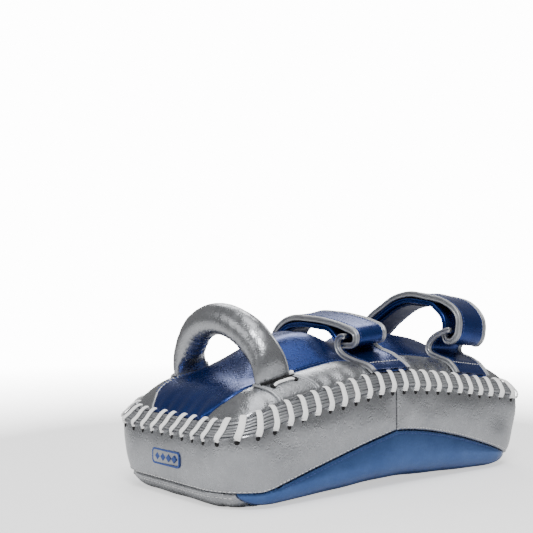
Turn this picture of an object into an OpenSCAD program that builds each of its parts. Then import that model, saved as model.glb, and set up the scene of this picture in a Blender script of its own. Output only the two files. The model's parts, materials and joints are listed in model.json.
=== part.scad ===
// Thai pad: a laced leather kick pad with a grip handle and two forearm straps on its back.
// +X runs from the hand end to the elbow end, +Y to the side where the straps are sewn down,
// +Z out of the back. The pad lies on its strike face, with the origin on the floor below the waist.

/* [Pad body] */
// Length from the hand end to the elbow end
pad_length = 404; // [380:2:430]
// Width across the two side walls
pad_width = 200; // [190:2:214]
// Plan radius of the four corners
corner_radius = 50; // [40:1:60]
// Height of the side wall's top edge at the waist
waist_height = 97; // [92:1:104]
// Fall of the back towards the hand end, in mm per mm
hand_slope = 0.13; // [0.10:0.01:0.16]
// Fall of the back towards the elbow end, in mm per mm
elbow_slope = 0.085; // [0.06:0.005:0.11]
// Extra droop of the back at both ends
end_droop = 10; // [4:1:14]
// Clearance under the strike face at the waist
strike_arch = 7.5; // [4:0.5:10]
// Radius where the strike face turns up into the side walls
face_radius = 22; // [14:1:26]

/* [Strike face] */
// Height of the strike seam at the waist
waist_seam_height = 55; // [45:1:62]
// Height of the strike seam at the hand end
hand_seam_height = 15; // [12:1:20]
// Height of the strike seam at the elbow end
elbow_seam_height = 9.5; // [8:0.5:16]
// Half width of the silver panels where they meet at the waist
waist_half_width = 17; // [10:1:24]
// Half width of the silver panels at their shoulders
shoulder_half_width = 60; // [50:1:68]
// Distance from the waist to the shoulders
shoulder_offset = 45; // [36:1:56]
// Half width of the silver panels at both ends
end_half_width = 85; // [76:1:88]

/* [Covers and rim] */
// Thickness of a cover panel with its backing
cover_thickness = 2.2; // [1.6:0.2:3]
// Thickness of one welt in the laced rim
welt_thickness = 4.4; // [3.6:0.2:5]
// How far the laced rim stands out of the side wall
rim_overhang = 1.6; // [0.8:0.2:2.4]
// Width of the laced rim, measured inwards from the side wall
rim_width = 9; // [7:1:11]
// Half width of the blue back panel
back_panel_half_width = 58; // [52:1:64]
// Rise of the back above its rim where the puffed border levels out
border_puff = 9.5; // [6:0.5:12]
// Further rise of the back from its border to its middle
back_crown = 6.5; // [3:0.5:8]
// Hollow of the back where the pad bends at its waist
waist_hollow = 8; // [4:1:10]
// Extra height of the forearm cushion along the middle of the back
cushion_height = 26; // [0:1:28]
// Number of rim stitches
stitch_count = 68; // [48:2:76]

/* [Padding] */
// Thickness of the soft layer behind the strike face
strike_foam_thickness = 24; // [16:1:30]
// Depth of the back layer below the side wall's top edge
back_foam_depth = 12; // [8:1:16]

/* [Handle] */
// Place of the handle along the pad
handle_x = -127; // [-136:1:-120]
// Lean of the handle from upright, towards the hand end
handle_lean = 14; // [0:1:18]
// Half span between the centres of the handle's legs
handle_half_span = 72; // [68:1:75]
// Height of the grip's centre line above the side wall's top edge
handle_rise = 86; // [80:1:92]
// Bend radius of the handle's shoulders
handle_bend = 40; // [36:1:41]
// Outside radius of the grip
grip_radius = 15.5; // [14:0.5:17]
// Radius of the foam rod in the grip
grip_core_radius = 12.5; // [10:0.5:13]

/* [Straps] */
// Place of the strap nearer the hand end
strap_1_x = 0; // [-6:1:8]
// Place of the strap nearer the elbow end
strap_2_x = 124; // [116:1:132]
// Width of a strap
strap_width = 44; // [38:1:48]
// Width of a strap's catch
catch_width = 56; // [54:1:60]
// Thickness of a strap's web
strap_thickness = 4.6; // [4:0.2:5]
// Width of the binding along a strap's edges
binding_width = 3; // [2:0.5:4]
// Thickness of the binding along a strap's edges
binding_thickness = 5.6; // [5:0.2:5.8]

/* [Hidden] */
$fn = 64;

half_l = pad_length / 2;
half_w = pad_width / 2;
gap = 0.2;
big = 400;
x_steps = 30;

SILVER = [0.72, 0.73, 0.75];
BLUE = [0.10, 0.22, 0.55];
WHITE = [0.93, 0.93, 0.92];
FOAM = [0.20, 0.20, 0.22];

// Side view of the pad: heights as functions of x.
back_bend_radius = 18;
face_bend_radius = 30;
strike_slope = 0.062;
hand_seam_reach = 166;
elbow_seam_reach = 187;

function bend(x, r) = sqrt(x * x + r * r) - r;
function edge_z(x) = waist_height - (x < 0 ? hand_slope : elbow_slope) * bend(x, back_bend_radius)
    - end_droop * pow(x / half_l, 2);
function edge_slope(x) = edge_z(x + 0.5) - edge_z(x - 0.5);
function face_z(x) = max(0, strike_arch - strike_slope * bend(x, face_bend_radius));
function seam_z(x) = x < 0
    ? hand_seam_height
        + (waist_seam_height - hand_seam_height) * max(0, 1 - pow(-x / hand_seam_reach, 1.1))
    : elbow_seam_height
        + (waist_seam_height - elbow_seam_height) * max(0, 1 - pow(x / elbow_seam_reach, 1.6));

// Rise of the back's outer surface above the side wall's edge, as a function of the inset d.
rim_height = 3 * (welt_thickness + gap);
border_run = 34;
function ease_out(t) = let(u = min(max(t, 0), 1)) 1 - pow(1 - u, 2.2);
function back_rise(d) = rim_height + cover_thickness + gap + border_puff * ease_out((d - rim_width) / border_run)
    + back_crown * ease_out((d - rim_width) / (half_w - rim_width));
function hollow(x, d) = waist_hollow * ease_out((d - rim_width) / border_run) * pow(max(0, 1 - pow(x / 50, 2)), 2);
// Share of the cushion's height along the pad: highest on both sides of the waist, low under the first strap.
cushion_run = [[-158, 0], [-140, 0.13], [-125, 0.33], [-110, 0.58], [-95, 0.8], [-80, 0.94], [-62, 1], [-46, 0.95],
    [-30, 0.66], [-15, 0.34], [0, 0.22], [15, 0.28], [30, 0.44], [50, 0.62], [80, 0.72], [110, 0.68], [140, 0.44],
    [165, 0.18], [185, 0]];
cushion_shoulder = 46;
function smooth(t) = let(u = min(max(t, 0), 1)) u * u * (3 - 2 * u);
function cushion(x, d) = cushion_height * lookup(x, cushion_run)
    * smooth((d - half_w + back_panel_half_width) / cushion_shoulder);
function back_z(x, d) = edge_z(x) + back_rise(d) - hollow(x, d) + cushion(x, d);

// Smooth curve through points, and the outline of a band of thickness t along it.
curve_steps = 4;
function spline(a, b, c, d, t) = 0.5 * (2 * b + (c - a) * t + (2 * a - 5 * b + 4 * c - d) * t * t
    + (3 * b - a - 3 * c + d) * t * t * t);
function curve(p) = let(m = len(p) - 1) concat(
    [for (i = [0:m - 1], k = [0:curve_steps - 1])
        spline(p[max(i - 1, 0)], p[i], p[i + 1], p[min(i + 2, m)], k / curve_steps)],
    [p[m]]);
function part_of(p, first, last) = [for (i = [first:last]) p[i]];
function normal_at(p, i) = let(d = p[min(i + 1, len(p) - 1)] - p[max(i - 1, 0)]) [-d[1], d[0]] / norm(d);
function band_outline(p, t, shift) = concat(
    [for (i = [0:len(p) - 1]) p[i] + normal_at(p, i) * (shift + t / 2)],
    [for (i = [len(p) - 1:-1:0]) p[i] + normal_at(p, i) * (shift - t / 2)]);

// A band whose (y, z) path is extruded along X.
module ribbon(path, t, width, shift = 0)
    rotate([90, 0, 90])
        linear_extrude(width, center = true)
            polygon(band_outline(path, t, shift));

// The two bound edges of a strap of the given width.
module edge_ribbons(path, width)
    for (side = [-1, 1])
        translate([side * (width - binding_width) / 2, 0, 0])
            ribbon(path, binding_thickness, binding_width);

// Places children on the back at x, turned by a share of the back's slope there.
module on_back(x, share = 1)
    translate([x, 0, edge_z(x)])
        rotate([0, -share * atan(edge_slope(x)), 0])
            children();

// Space between two heights that are functions of x.
module between(low, high)
    rotate([90, 0, 0])
        linear_extrude(big, center = true)
            polygon(concat(
                [for (i = [0:x_steps]) let(x = (i / x_steps - 0.5) * (pad_length + 12)) [x, low(x)]],
                [for (i = [x_steps:-1:0]) let(x = (i / x_steps - 0.5) * (pad_length + 12)) [x, high(x)]]));

// Plan of the pad, drawn in by inset.
module plan_2d(inset) {
    a = half_l - inset;
    b = half_w - inset;
    r = corner_radius - inset;
    square([2 * (a - r), 2 * b], center = true);
    square([2 * a, 2 * (b - r)], center = true);
    for (sx = [-1, 1], sy = [-1, 1])
        translate([sx * (a - r), sy * (b - r)])
            circle(r);
}

// Upright section with rounded lower corners, drawn in by inset.
module tub_2d(half, inset) {
    a = half - inset;
    r = face_radius - inset;
    translate([-a, inset + r])
        square([2 * a, big]);
    translate([-a + r, inset])
        square([2 * (a - r), big]);
    for (side = [-1, 1])
        translate([side * (a - r), inset + r])
            circle(r);
}

// Closed form of the padded body below its rim, drawn in by inset. The rounding starts a little outside
// the plan, so that it crosses the side walls at an edge.
rounding_overshoot = 0.4;
module tub(inset)
    intersection() {
        linear_extrude(big)
            plan_2d(inset);
        rotate([90, 0, 90])
            linear_extrude(big * 2, center = true)
                tub_2d(half_w + rounding_overshoot, inset);
        rotate([90, 0, 0])
            linear_extrude(big * 2, center = true)
                tub_2d(half_l + rounding_overshoot, inset);
        between(function(x) face_z(x) + inset, function(x) big);
    }

module tub_shell()
    difference() {
        tub(0);
        tub(cover_thickness);
    }

// Half of the room, split at the waist: side is -1 for the hand end and 1 for the elbow end.
module end_half(side)
    translate([side * (big / 2 + gap / 2), 0, 0])
        cube([big, 2 * big, 2 * big], center = true);

// Half width of the silver panels along the pad.
function pattern_edge(offset) = [
    [0, waist_half_width + offset],
    [shoulder_offset, shoulder_half_width + offset],
    [half_l - 10, end_half_width + offset],
    [half_l + 12, end_half_width + offset + 2]
];
function mirror_y(p) = [for (i = [len(p) - 1:-1:0]) [p[i][0], -p[i][1]]];
function mirror_x(p) = [for (i = [len(p) - 1:-1:0]) [-p[i][0], p[i][1]]];

module silver_plan()
    let(edge = pattern_edge(-gap / 2))
        for (m = [0, 1])
            mirror([m, 0, 0])
                linear_extrude(2 * big, center = true)
                    polygon(concat(edge, mirror_y(edge)));

module blue_plan()
    let(edge = pattern_edge(gap / 2))
        linear_extrude(2 * big, center = true)
            polygon(concat(mirror_x(edge), [for (i = [1:len(edge) - 1]) edge[i]],
                [[half_l + 12, big], [-half_l - 12, big]]));

module strike_cover()
    intersection() {
        tub_shell();
        between(function(x) -5, function(x) seam_z(x) - gap / 2);
    }

module strike_panel_silver(side)
    color(SILVER)
        intersection() {
            strike_cover();
            silver_plan();
            end_half(side);
        }

module strike_panel_blue(side)
    color(BLUE)
        mirror([0, side < 0 ? 1 : 0, 0])
            intersection() {
                strike_cover();
                blue_plan();
            }

module side_wall(side)
    color(SILVER)
        intersection() {
            tub_shell();
            between(function(x) seam_z(x) + gap / 2, function(x) edge_z(x));
            end_half(side);
        }

// Layer number n of the laced rim, counted from the side wall.
module rim_welt(n)
    color(SILVER)
        intersection() {
            between(function(x) edge_z(x) + gap + n * (welt_thickness + gap),
                function(x) edge_z(x) + (n + 1) * (welt_thickness + gap) - gap);
            linear_extrude(big)
                difference() {
                    plan_2d(-rim_overhang);
                    plan_2d(rim_width);
                }
        }

// Rings of the back's plan, drawn in by d, with the same number of points each.
corner_steps = 4;
long_steps = 16;
half_ring = 2 * corner_steps + long_steps;
function corner_points(cx, cy, r, start) =
    [for (k = [0:corner_steps]) let(a = start + 90 * k / corner_steps) [cx + r * cos(a), cy + r * sin(a)]];
function side_points(from, to, steps) = [for (k = [1:steps - 1]) from + (to - from) * k / steps];
function ring(d) = let(
        r = max(1, corner_radius - d),
        a = half_l - d - r,
        b = max(0.5, half_w - d - r))
    concat(
        corner_points(a, b, r, 0), side_points([a, b + r], [-a, b + r], long_steps),
        corner_points(-a, b, r, 90),
        corner_points(-a, -b, r, 180), side_points([-a, -b - r], [a, -b - r], long_steps),
        corner_points(a, -b, r, 270));

// Solid between an upper surface of nested rings and a lower one.
module ring_solid(insets, top, bottom) {
    rows = concat(
        [for (d = insets) [for (p = ring(d)) [p[0], p[1], top(p[0], d)]]],
        [for (i = [len(insets) - 1:-1:0]) [for (p = ring(insets[i])) [p[0], p[1], bottom(p[0], insets[i])]]]);
    count = len(rows[0]);
    inner = len(insets) - 1;
    at = function(row, k) (row % len(rows)) * count + k % count;
    walls = [for (row = [0:len(rows) - 1]) if (row != inner) for (k = [0:count - 1], face = [
        [at(row, k), at(row + 1, k), at(row + 1, k + 1)],
        [at(row, k), at(row + 1, k + 1), at(row, k + 1)]]) face];
    lid = [for (k = [0:half_ring - 1], face = [
        [at(inner, k), at(inner, count - 1 - k), at(inner, count - 2 - k)],
        [at(inner, k), at(inner, count - 2 - k), at(inner, k + 1)]]) face];
    base = [for (k = [0:half_ring - 1], face = [
        [at(inner + 1, k), at(inner + 1, count - 2 - k), at(inner + 1, count - 1 - k)],
        [at(inner + 1, k), at(inner + 1, k + 1), at(inner + 1, count - 2 - k)]]) face];
    polyhedron([for (row = rows) for (p = row) p], concat(walls, lid, base));
}

back_insets = [0, rim_width, 16, 26, 40, 52, 64, 76, half_w - 1.6];

module back_cover()
    ring_solid(back_insets,
        function(x, d) back_z(x, d),
        function(x, d) back_z(x, d) - cover_thickness);

module back_panel_centre()
    color(BLUE)
        intersection() {
            back_cover();
            cube([2 * big, 2 * back_panel_half_width - gap, 2 * big], center = true);
        }

module back_panel_side(side)
    color(SILVER)
        intersection() {
            back_cover();
            translate([0, side * (back_panel_half_width + gap / 2 + big / 2), 0])
                cube([2 * big, big, 2 * big], center = true);
        }

// One stitch of the rim lace: out of the side wall, round the welts and into the back panel.
stitch_width = 4.4;
stitch_thickness = 1.8;
// Its points are (outward, up), sheared to follow the back's slope across the rim.
function stitch_path(slope) = let(
        out = rim_overhang + stitch_thickness / 2 + gap,
        top = rim_height + cover_thickness,
        upright = [[stitch_thickness / 2 + gap, -5], [out, 0], [out + 0.6, rim_height / 2],
            [out, rim_height + 1.5], [-0.5, top + 2.7], [-rim_width + 1, top + 2.2]])
    curve([for (p = upright) [p[0], p[1] + slope * p[0]]]);
function perimeter_point(s) = let(
        a = half_l - corner_radius,
        b = half_w - corner_radius,
        arc = PI * corner_radius / 2,
        u = s % (4 * a + 4 * b + 4 * arc))
    u < 2 * a ? [-a + u, -half_w, -90]
    : u < 2 * a + arc ? round_corner(a, -b, -90, (u - 2 * a) / arc)
    : u < 2 * a + arc + 2 * b ? [half_l, -b + u - 2 * a - arc, 0]
    : u < 2 * a + 2 * arc + 2 * b ? round_corner(a, b, 0, (u - 2 * a - arc - 2 * b) / arc)
    : u < 4 * a + 2 * arc + 2 * b ? [a - (u - 2 * a - 2 * arc - 2 * b), half_w, 90]
    : u < 4 * a + 3 * arc + 2 * b ? round_corner(-a, b, 90, (u - 4 * a - 2 * arc - 2 * b) / arc)
    : u < 4 * a + 3 * arc + 4 * b ? [-half_l, b - (u - 4 * a - 3 * arc - 2 * b), 180]
    : round_corner(-a, -b, 180, (u - 4 * a - 3 * arc - 4 * b) / arc);
function round_corner(cx, cy, start, t) = let(angle = start + 90 * t)
    [cx + corner_radius * cos(angle), cy + corner_radius * sin(angle), angle];

module rim_lacing() {
    perimeter = 4 * (half_l + half_w - 2 * corner_radius) + 2 * PI * corner_radius;
    color(WHITE)
        for (i = [0:stitch_count - 1])
            let(p = perimeter_point((i + 0.5) * perimeter / stitch_count))
                translate([p[0], p[1], edge_z(p[0])])
                    rotate([0, 0, p[2]])
                        rotate([90, 0, 0])
                            linear_extrude(stitch_width, center = true)
                                polygon(band_outline(stitch_path(edge_slope(p[0]) * cos(p[2])),
                                    stitch_thickness, 0));
}

// Padding, from the strike face to the back.
module foam_layer(low, high)
    intersection() {
        tub(cover_thickness + gap);
        between(low, high);
    }

module strike_foam()
    color(FOAM)
        foam_layer(function(x) -5, function(x) face_z(x) + strike_foam_thickness - gap);

module core_foam(side)
    color(FOAM)
        intersection() {
            foam_layer(function(x) face_z(x) + strike_foam_thickness,
                function(x) edge_z(x) - back_foam_depth - 3 * gap);
            end_half(side);
        }

// Room between the cushion's padding and its cover.
foam_drop = 3.2;
module back_foam()
    color(FOAM)
        ring_solid(concat([rim_width + gap], part_of(back_insets, 2, len(back_insets) - 1)),
            function(x, d) back_z(x, d) - cover_thickness - foam_drop,
            function(x, d) edge_z(x) - back_foam_depth);

// Handle. Heights are above the side wall's edge at the handle.
tab_width = 44;
tab_thickness = 1.6;
foot_thickness = 4;
foot_relief = 0.6;
foot_width = 36;
surface_clearance = 0.9;
knuckle_radius = 6;
knuckle_gap = 0.8;
function over_back(side, d, lift) = [side * (half_w - d), back_rise(d) + lift];
foot_lift = surface_clearance + tab_thickness + 0.3;
pivot_height = back_rise(half_w - handle_half_span + 10) + foot_lift + foot_thickness + knuckle_gap
    + knuckle_radius;
arch_height = handle_rise - pivot_height;

module handle_tab(side)
    color(SILVER)
        on_back(handle_x)
            ribbon(curve([for (d = [44, 39, 33, 27, 21, 18, 12.5])
                over_back(side, d, surface_clearance + tab_thickness / 2)]), tab_thickness, tab_width);

// The leg's leather, flattened and sewn down on the tab.
module handle_foot(side)
    color(SILVER)
        on_back(handle_x)
            ribbon(curve([for (d = [39, 33, 27, 21, 18])
                over_back(side, d, foot_lift + (foot_thickness + foot_relief) / 2)]),
                foot_thickness - foot_relief, foot_width);

// Cord that holds each tab down beside its foot.
tie_radius = 1.6;
module handle_ties()
    color(WHITE)
        on_back(handle_x)
            for (side = [-1, 1])
                let(p = over_back(side, 14.5, surface_clearance + tab_thickness + tie_radius + 0.8))
                    translate([0, p[0], p[1]])
                        rotate([0, 90, 0])
                            cylinder(r = tie_radius, h = 26, center = true);

// Places children at the fold line of the handle, leaning towards the hand end.
module on_fold()
    on_back(handle_x)
        translate([0, 0, pivot_height])
            rotate([0, atan(edge_slope(handle_x)) - handle_lean, 0])
                children();

// An arch of round section: two legs, two bends and a straight grip.
module arch(r, half_span, bend_radius, foot_z, top_z) {
    for (side = [-1, 1]) {
        translate([0, side * half_span, foot_z])
            cylinder(r = r, h = top_z - bend_radius - foot_z);
        translate([0, side * (half_span - bend_radius), top_z - bend_radius])
            rotate([90, 0, 90])
                rotate(side > 0 ? 0 : 90)
                    rotate_extrude(angle = 90)
                        translate([bend_radius, 0])
                            circle(r);
    }
    translate([0, 0, top_z])
        rotate([90, 0, 0])
            cylinder(r = r, h = 2 * (half_span - bend_radius), center = true);
}

// Foam rod, with a rounded knuckle at each end where the handle folds over its foot.
module handle_core()
    color(FOAM)
        on_fold() {
            arch(grip_core_radius, handle_half_span, handle_bend, 0, arch_height);
            for (side = [-1, 1])
                translate([0, side * handle_half_span, 0])
                    rotate([90, 0, 0])
                        cylinder(r = knuckle_radius, h = 20, center = true);
        }

module handle_cover()
    color(SILVER)
        on_fold()
            difference() {
                arch(grip_radius, handle_half_span, handle_bend, 0, arch_height);
                arch(grip_core_radius + 0.1, handle_half_span, handle_bend, -1, arch_height);
            }

// Bead along the handle's seam, on the side that faces the straps.
piping_radius = 1.6;
module handle_piping()
    color(WHITE)
        on_fold()
            translate([grip_radius + piping_radius + 0.1, 0, 0])
                arch(piping_radius, handle_half_span, handle_bend, 1, arch_height);

// Straps. Paths are in (y, z), with z above the side wall's edge at the strap. A tail starts at the fold
// and runs back over the band to its free end. A band runs from the fold through the catch's slot and
// over the forearm to its sewn end. A catch runs up from the near rim.
tail_1_path = curve([[-62, 49], [-61.2, 53.4], [-57, 56.8], [-48, 59.4], [-30, 63], [-8, 66.2], [21, 68],
    [41, 65.4], [54, 59.4], [63, 51.5], [68, 43]]);
tail_2_path = curve([[-88, 66], [-87.4, 73], [-84, 80.5], [-74.5, 89.3], [-59.5, 95.7], [-29, 100.7],
    [-9, 100.6], [11, 94.8], [32, 82.4], [46, 72], [58, 59]]);
fold_1_path = [[-62, 49], [-60.5, 44.5], [-56, 42], [-48, 41.6], [-40, 42.2], [-35, 45.5], [-29.5, 51.6]];
fold_2_path = [[-88, 66], [-86.4, 57.5], [-80, 51.2], [-72.8, 51.4], [-69, 56.5], [-68.2, 63], [-67.6, 71],
    [-63.2, 79.6], [-54, 87.2]];
end_1_path = [[72, 31], [80, 24.2], [87.5, 21.2]];
end_2_path = [[65.5, 43.5], [74, 35], [81.5, 27.6], [88, 23.4]];
catch_1_path = curve([[-89, 20], [-80, 23], [-72, 25.8], [-62, 28.6], [-54, 30.6], [-46.4, 34],
    [-42, 38.4], [-40.8, 44], [-43, 49.2], [-47.2, 51.6], [-51.4, 51.6]]);
catch_2_path = curve([[-89, 23.4], [-80, 28.8], [-72, 31.8], [-63, 34.4], [-55, 37], [-51.2, 42.2],
    [-53, 49.2], [-59, 55.6], [-67, 59.8], [-75, 62], [-80, 62.4]]);
slot_1 = [-41, 42, 90];
slot_2 = [-68.4, 60.2, 22];

layer_step = 7.2;
liner_thickness = 2.4;
patch_thickness = 1;
hinge_clearance = 4.4;
strap_share = 0.5;
web_width = strap_width - 2 * binding_width - gap;

function lowered(p, drop) = [for (i = [0:len(p) - 1]) p[i] + normal_at(p, i) * -drop];
function band_path(tail, fold, end, first, last) =
    curve(concat(fold, every_second(lowered(part_of(tail, first, last), layer_step)), end));
function every_second(p) = [for (i = [0:2:len(p) - 1]) p[i]];
band_1_path = band_path(tail_1_path, fold_1_path, end_1_path, 18, 40);
band_2_path = band_path(tail_2_path, fold_2_path, end_2_path, 18, 38);

// Round end about the fold line, where the free tail turns.
module hinge_round(path, r, width)
    translate([0, path[0][0], path[0][1]])
        rotate([0, 90, 0])
            cylinder(r = r, h = width, center = true);

module strap_tail(x, path)
    color(BLUE)
        on_back(x, strap_share) {
            ribbon(path, strap_thickness, web_width);
            hinge_round(path, strap_thickness / 2, web_width);
        }

module tail_binding(x, path)
    color(WHITE)
        on_back(x, strap_share)
            edge_ribbons(path, strap_width);

module strap_band(x, path)
    color(BLUE)
        on_back(x, strap_share)
            difference() {
                ribbon(path, strap_thickness, web_width);
                hinge_round(path, hinge_clearance, 2 * strap_width);
            }

module band_binding(x, path)
    color(WHITE)
        on_back(x, strap_share)
            difference() {
                edge_ribbons(path, strap_width);
                hinge_round(path, hinge_clearance, 2 * strap_width);
            }

// Hook tape under the tail and loop tape on the band below it.
module hook_patch(x, path)
    color(WHITE * 0.2)
        on_back(x, strap_share)
            ribbon(path, patch_thickness, web_width - 4, -(strap_thickness + patch_thickness) / 2 - 0.1);

module loop_patch(x, path)
    color(WHITE * 0.2)
        on_back(x, strap_share)
            ribbon(lowered(path, layer_step), patch_thickness, web_width - 4,
                (strap_thickness + patch_thickness) / 2 + 0.1);

// Soft lining on the forearm side of the band.
module strap_liner(x, path)
    color(BLUE * 0.7)
        on_back(x, strap_share)
            ribbon(path, liner_thickness, web_width, -(strap_thickness + liner_thickness) / 2 - 0.2);

module catch_slot(slot)
    translate([0, slot[0], slot[1]])
        rotate([slot[2], 0, 0])
            cube([strap_width + 1.2, 9.6, 16], center = true);

module strap_catch(x, path, slot)
    color(BLUE)
        on_back(x, strap_share)
            difference() {
                ribbon(path, strap_thickness - 0.6, catch_width - 2 * binding_width - gap);
                catch_slot(slot);
            }

module catch_binding(x, path)
    color(WHITE)
        on_back(x, strap_share)
            for (side = [-1, 1])
                translate([side * (catch_width - binding_width) / 2, 0, 0])
                    ribbon(path, strap_thickness + 0.4, binding_width);

strike_panel_silver(-1);  // strike_panel_hand
strike_panel_silver(1);  // strike_panel_elbow
strike_panel_blue(1);  // strike_panel_left
strike_panel_blue(-1);  // strike_panel_right
side_wall(-1);  // side_wall_hand
side_wall(1);  // side_wall_elbow
back_panel_centre();
back_panel_side(1);  // back_panel_left
back_panel_side(-1);  // back_panel_right
rim_welt(0);  // rim_welt_lower
rim_welt(1);  // rim_welt_middle
rim_welt(2);  // rim_welt_upper
rim_lacing();
strike_foam();
core_foam(-1);  // core_foam_hand
core_foam(1);  // core_foam_elbow
back_foam();
handle_tab(1);  // handle_tab_left
handle_tab(-1);  // handle_tab_right
handle_foot(1);  // handle_foot_left
handle_foot(-1);  // handle_foot_right
handle_ties();
handle_core();
handle_cover();
handle_piping();
strap_band(strap_1_x, band_1_path);  // strap_1_band
band_binding(strap_1_x, band_1_path);  // strap_1_band_binding
strap_liner(strap_1_x, part_of(band_1_path, 36, 64));  // strap_1_liner
loop_patch(strap_1_x, part_of(tail_1_path, 20, 32));  // strap_1_loop_patch
strap_tail(strap_1_x, tail_1_path);  // strap_1_tail
tail_binding(strap_1_x, tail_1_path);  // strap_1_tail_binding
hook_patch(strap_1_x, part_of(tail_1_path, 22, 36));  // strap_1_hook_patch
strap_catch(strap_1_x, catch_1_path, slot_1);  // strap_1_catch
catch_binding(strap_1_x, catch_1_path);  // strap_1_catch_binding
strap_band(strap_2_x, band_2_path);  // strap_2_band
band_binding(strap_2_x, band_2_path);  // strap_2_band_binding
strap_liner(strap_2_x, part_of(band_2_path, 36, 64));  // strap_2_liner
loop_patch(strap_2_x, part_of(tail_2_path, 20, 32));  // strap_2_loop_patch
strap_tail(strap_2_x, tail_2_path);  // strap_2_tail
tail_binding(strap_2_x, tail_2_path);  // strap_2_tail_binding
hook_patch(strap_2_x, part_of(tail_2_path, 22, 36));  // strap_2_hook_patch
strap_catch(strap_2_x, catch_2_path, slot_2);  // strap_2_catch
catch_binding(strap_2_x, catch_2_path);  // strap_2_catch_binding
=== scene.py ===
"""Looks for the thai pad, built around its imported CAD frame.

Shapes are worked out in millimetres in the CAD frame and become metres when a mesh is made.
+X runs to the elbow end, +Y to the side where the straps are sewn down, +Z out of the back.
"""

import json
import math

import bpy
import numpy as np
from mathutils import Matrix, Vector


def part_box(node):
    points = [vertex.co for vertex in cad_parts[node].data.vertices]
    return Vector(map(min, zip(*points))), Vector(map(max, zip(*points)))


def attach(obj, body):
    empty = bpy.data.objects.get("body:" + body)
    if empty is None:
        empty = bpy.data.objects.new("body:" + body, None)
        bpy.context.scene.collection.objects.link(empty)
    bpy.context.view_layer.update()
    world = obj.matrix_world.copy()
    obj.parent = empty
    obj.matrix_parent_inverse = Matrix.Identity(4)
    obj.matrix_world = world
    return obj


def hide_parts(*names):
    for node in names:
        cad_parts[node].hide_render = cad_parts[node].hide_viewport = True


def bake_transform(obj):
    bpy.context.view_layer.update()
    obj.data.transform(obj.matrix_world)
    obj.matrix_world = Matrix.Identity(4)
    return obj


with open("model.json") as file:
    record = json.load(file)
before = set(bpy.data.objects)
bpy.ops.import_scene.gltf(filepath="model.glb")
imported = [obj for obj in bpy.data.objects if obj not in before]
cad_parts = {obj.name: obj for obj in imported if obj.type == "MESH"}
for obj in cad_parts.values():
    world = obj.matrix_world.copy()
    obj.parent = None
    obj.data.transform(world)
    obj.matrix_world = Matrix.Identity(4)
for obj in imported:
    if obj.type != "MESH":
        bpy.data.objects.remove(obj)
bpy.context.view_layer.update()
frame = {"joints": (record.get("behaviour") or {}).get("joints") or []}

MM = 0.001
WALL_LOW, WALL_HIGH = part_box("side_wall_hand")
FOLD = next(joint for joint in frame["joints"] if joint["name"] == "handle_fold")["pos_m"]

# ---------------------------------------------------------------- body shape

HALF_L = -WALL_LOW.x / MM
HALF_W = WALL_HIGH.y / MM
WAIST_HEIGHT = WALL_HIGH.z / MM
CORNER = 50.0
HAND_SLOPE, ELBOW_SLOPE, END_DROOP = 0.13, 0.085, 10.0
STRIKE_ARCH = 7.5
FACE_ROUND_WIDTH, FACE_ROUND_HEIGHT = 34.0, 20.0
WAIST_SEAM, HAND_SEAM, ELBOW_SEAM = 55.0, 15.0, 9.5
HAND_SEAM_END, ELBOW_SEAM_END = 166.0, 187.0
PATTERN_X, PATTERN_HALF = [0.0, 45.0, 192.0, 220.0], [17.0, 60.0, 85.0, 87.0]
RIM_BASE, RIM_INSET, RIM_RISE = 2.0, 8.5, 11.8
BACK_PUFF, BACK_CROWN, WAIST_HOLLOW = 14.0, 5.0, 8.0
BLUE_HALF_WIDTH = 58.0
END_DRAW, END_DRAW_START, END_DRAW_LENGTH = 17.0, 165.0, 27.0
FLARE_START, ELBOW_FLARE, HAND_FLARE, FLARE_HEIGHT = 125.0, 6.0, 0.5, 75.0
RIM_CORNER, SHARPEN_FROM, SHARPEN_RISE = 33.0, 8.0, 60.0
RIM_DROP, RIM_DROP_START, RIM_DROP_LENGTH = 3.5, 150.0, 45.0
CUSHION_HEIGHT, CUSHION_SHOULDER = 26.0, 46.0
CUSHION_X = [-158, -140, -125, -110, -95, -80, -62, -46, -30, -15, 0, 15, 30, 50, 80, 110, 140, 165, 185]
CUSHION_SHARE = [0, 0.13, 0.33, 0.58, 0.8, 0.94, 1, 0.98, 0.8, 0.58, 0.5, 0.56, 0.78, 0.85, 0.78, 0.7,
                 0.46, 0.18, 0]
FULL_SIDE, FULL_CENTRE, FULL_FROM, FULL_TO = 0.62, -2.0, 34.0, 150.0
FULL_FADE_IN, FULL_FADE_OUT = 22.0, 30.0
LACE_PITCH, LACE_LEAN = 16.5, 4.6
LEATHER = 1.8


def at(height, x):
    """One of the shape functions of x, at a single place."""
    return float(height(np.array(x)))


def clamp(t):
    return np.clip(t, 0.0, 1.0)


def smooth(t):
    """Rise from 0 to 1 with level ends, for t from 0 to 1."""
    return t * t * (3 - 2 * t)


def bend(x, radius):
    """Absolute value of x with its corner rounded off."""
    return np.sqrt(x * x + radius * radius) - radius


def edge_z(x):
    """Height of the side wall's top edge."""
    slope = np.where(x < 0, HAND_SLOPE, ELBOW_SLOPE)
    return WAIST_HEIGHT - slope * bend(x, 18.0) - END_DROOP * (x / HALF_L) ** 2


def face_z(x):
    """Height of the middle of the strike face."""
    return np.maximum(0.0, STRIKE_ARCH - 0.062 * bend(x, 30.0))


def seam_z(x):
    """Height of the seam between the strike face's panels and the side wall."""
    hand = np.maximum(0.0, 1 - np.maximum(-x / HAND_SEAM_END, 0.0) ** 1.1)
    elbow = np.maximum(0.0, 1 - np.maximum(x / ELBOW_SEAM_END, 0.0) ** 1.6)
    return np.where(x < 0, HAND_SEAM + (WAIST_SEAM - HAND_SEAM) * hand,
                    ELBOW_SEAM + (WAIST_SEAM - ELBOW_SEAM) * elbow)


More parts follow.
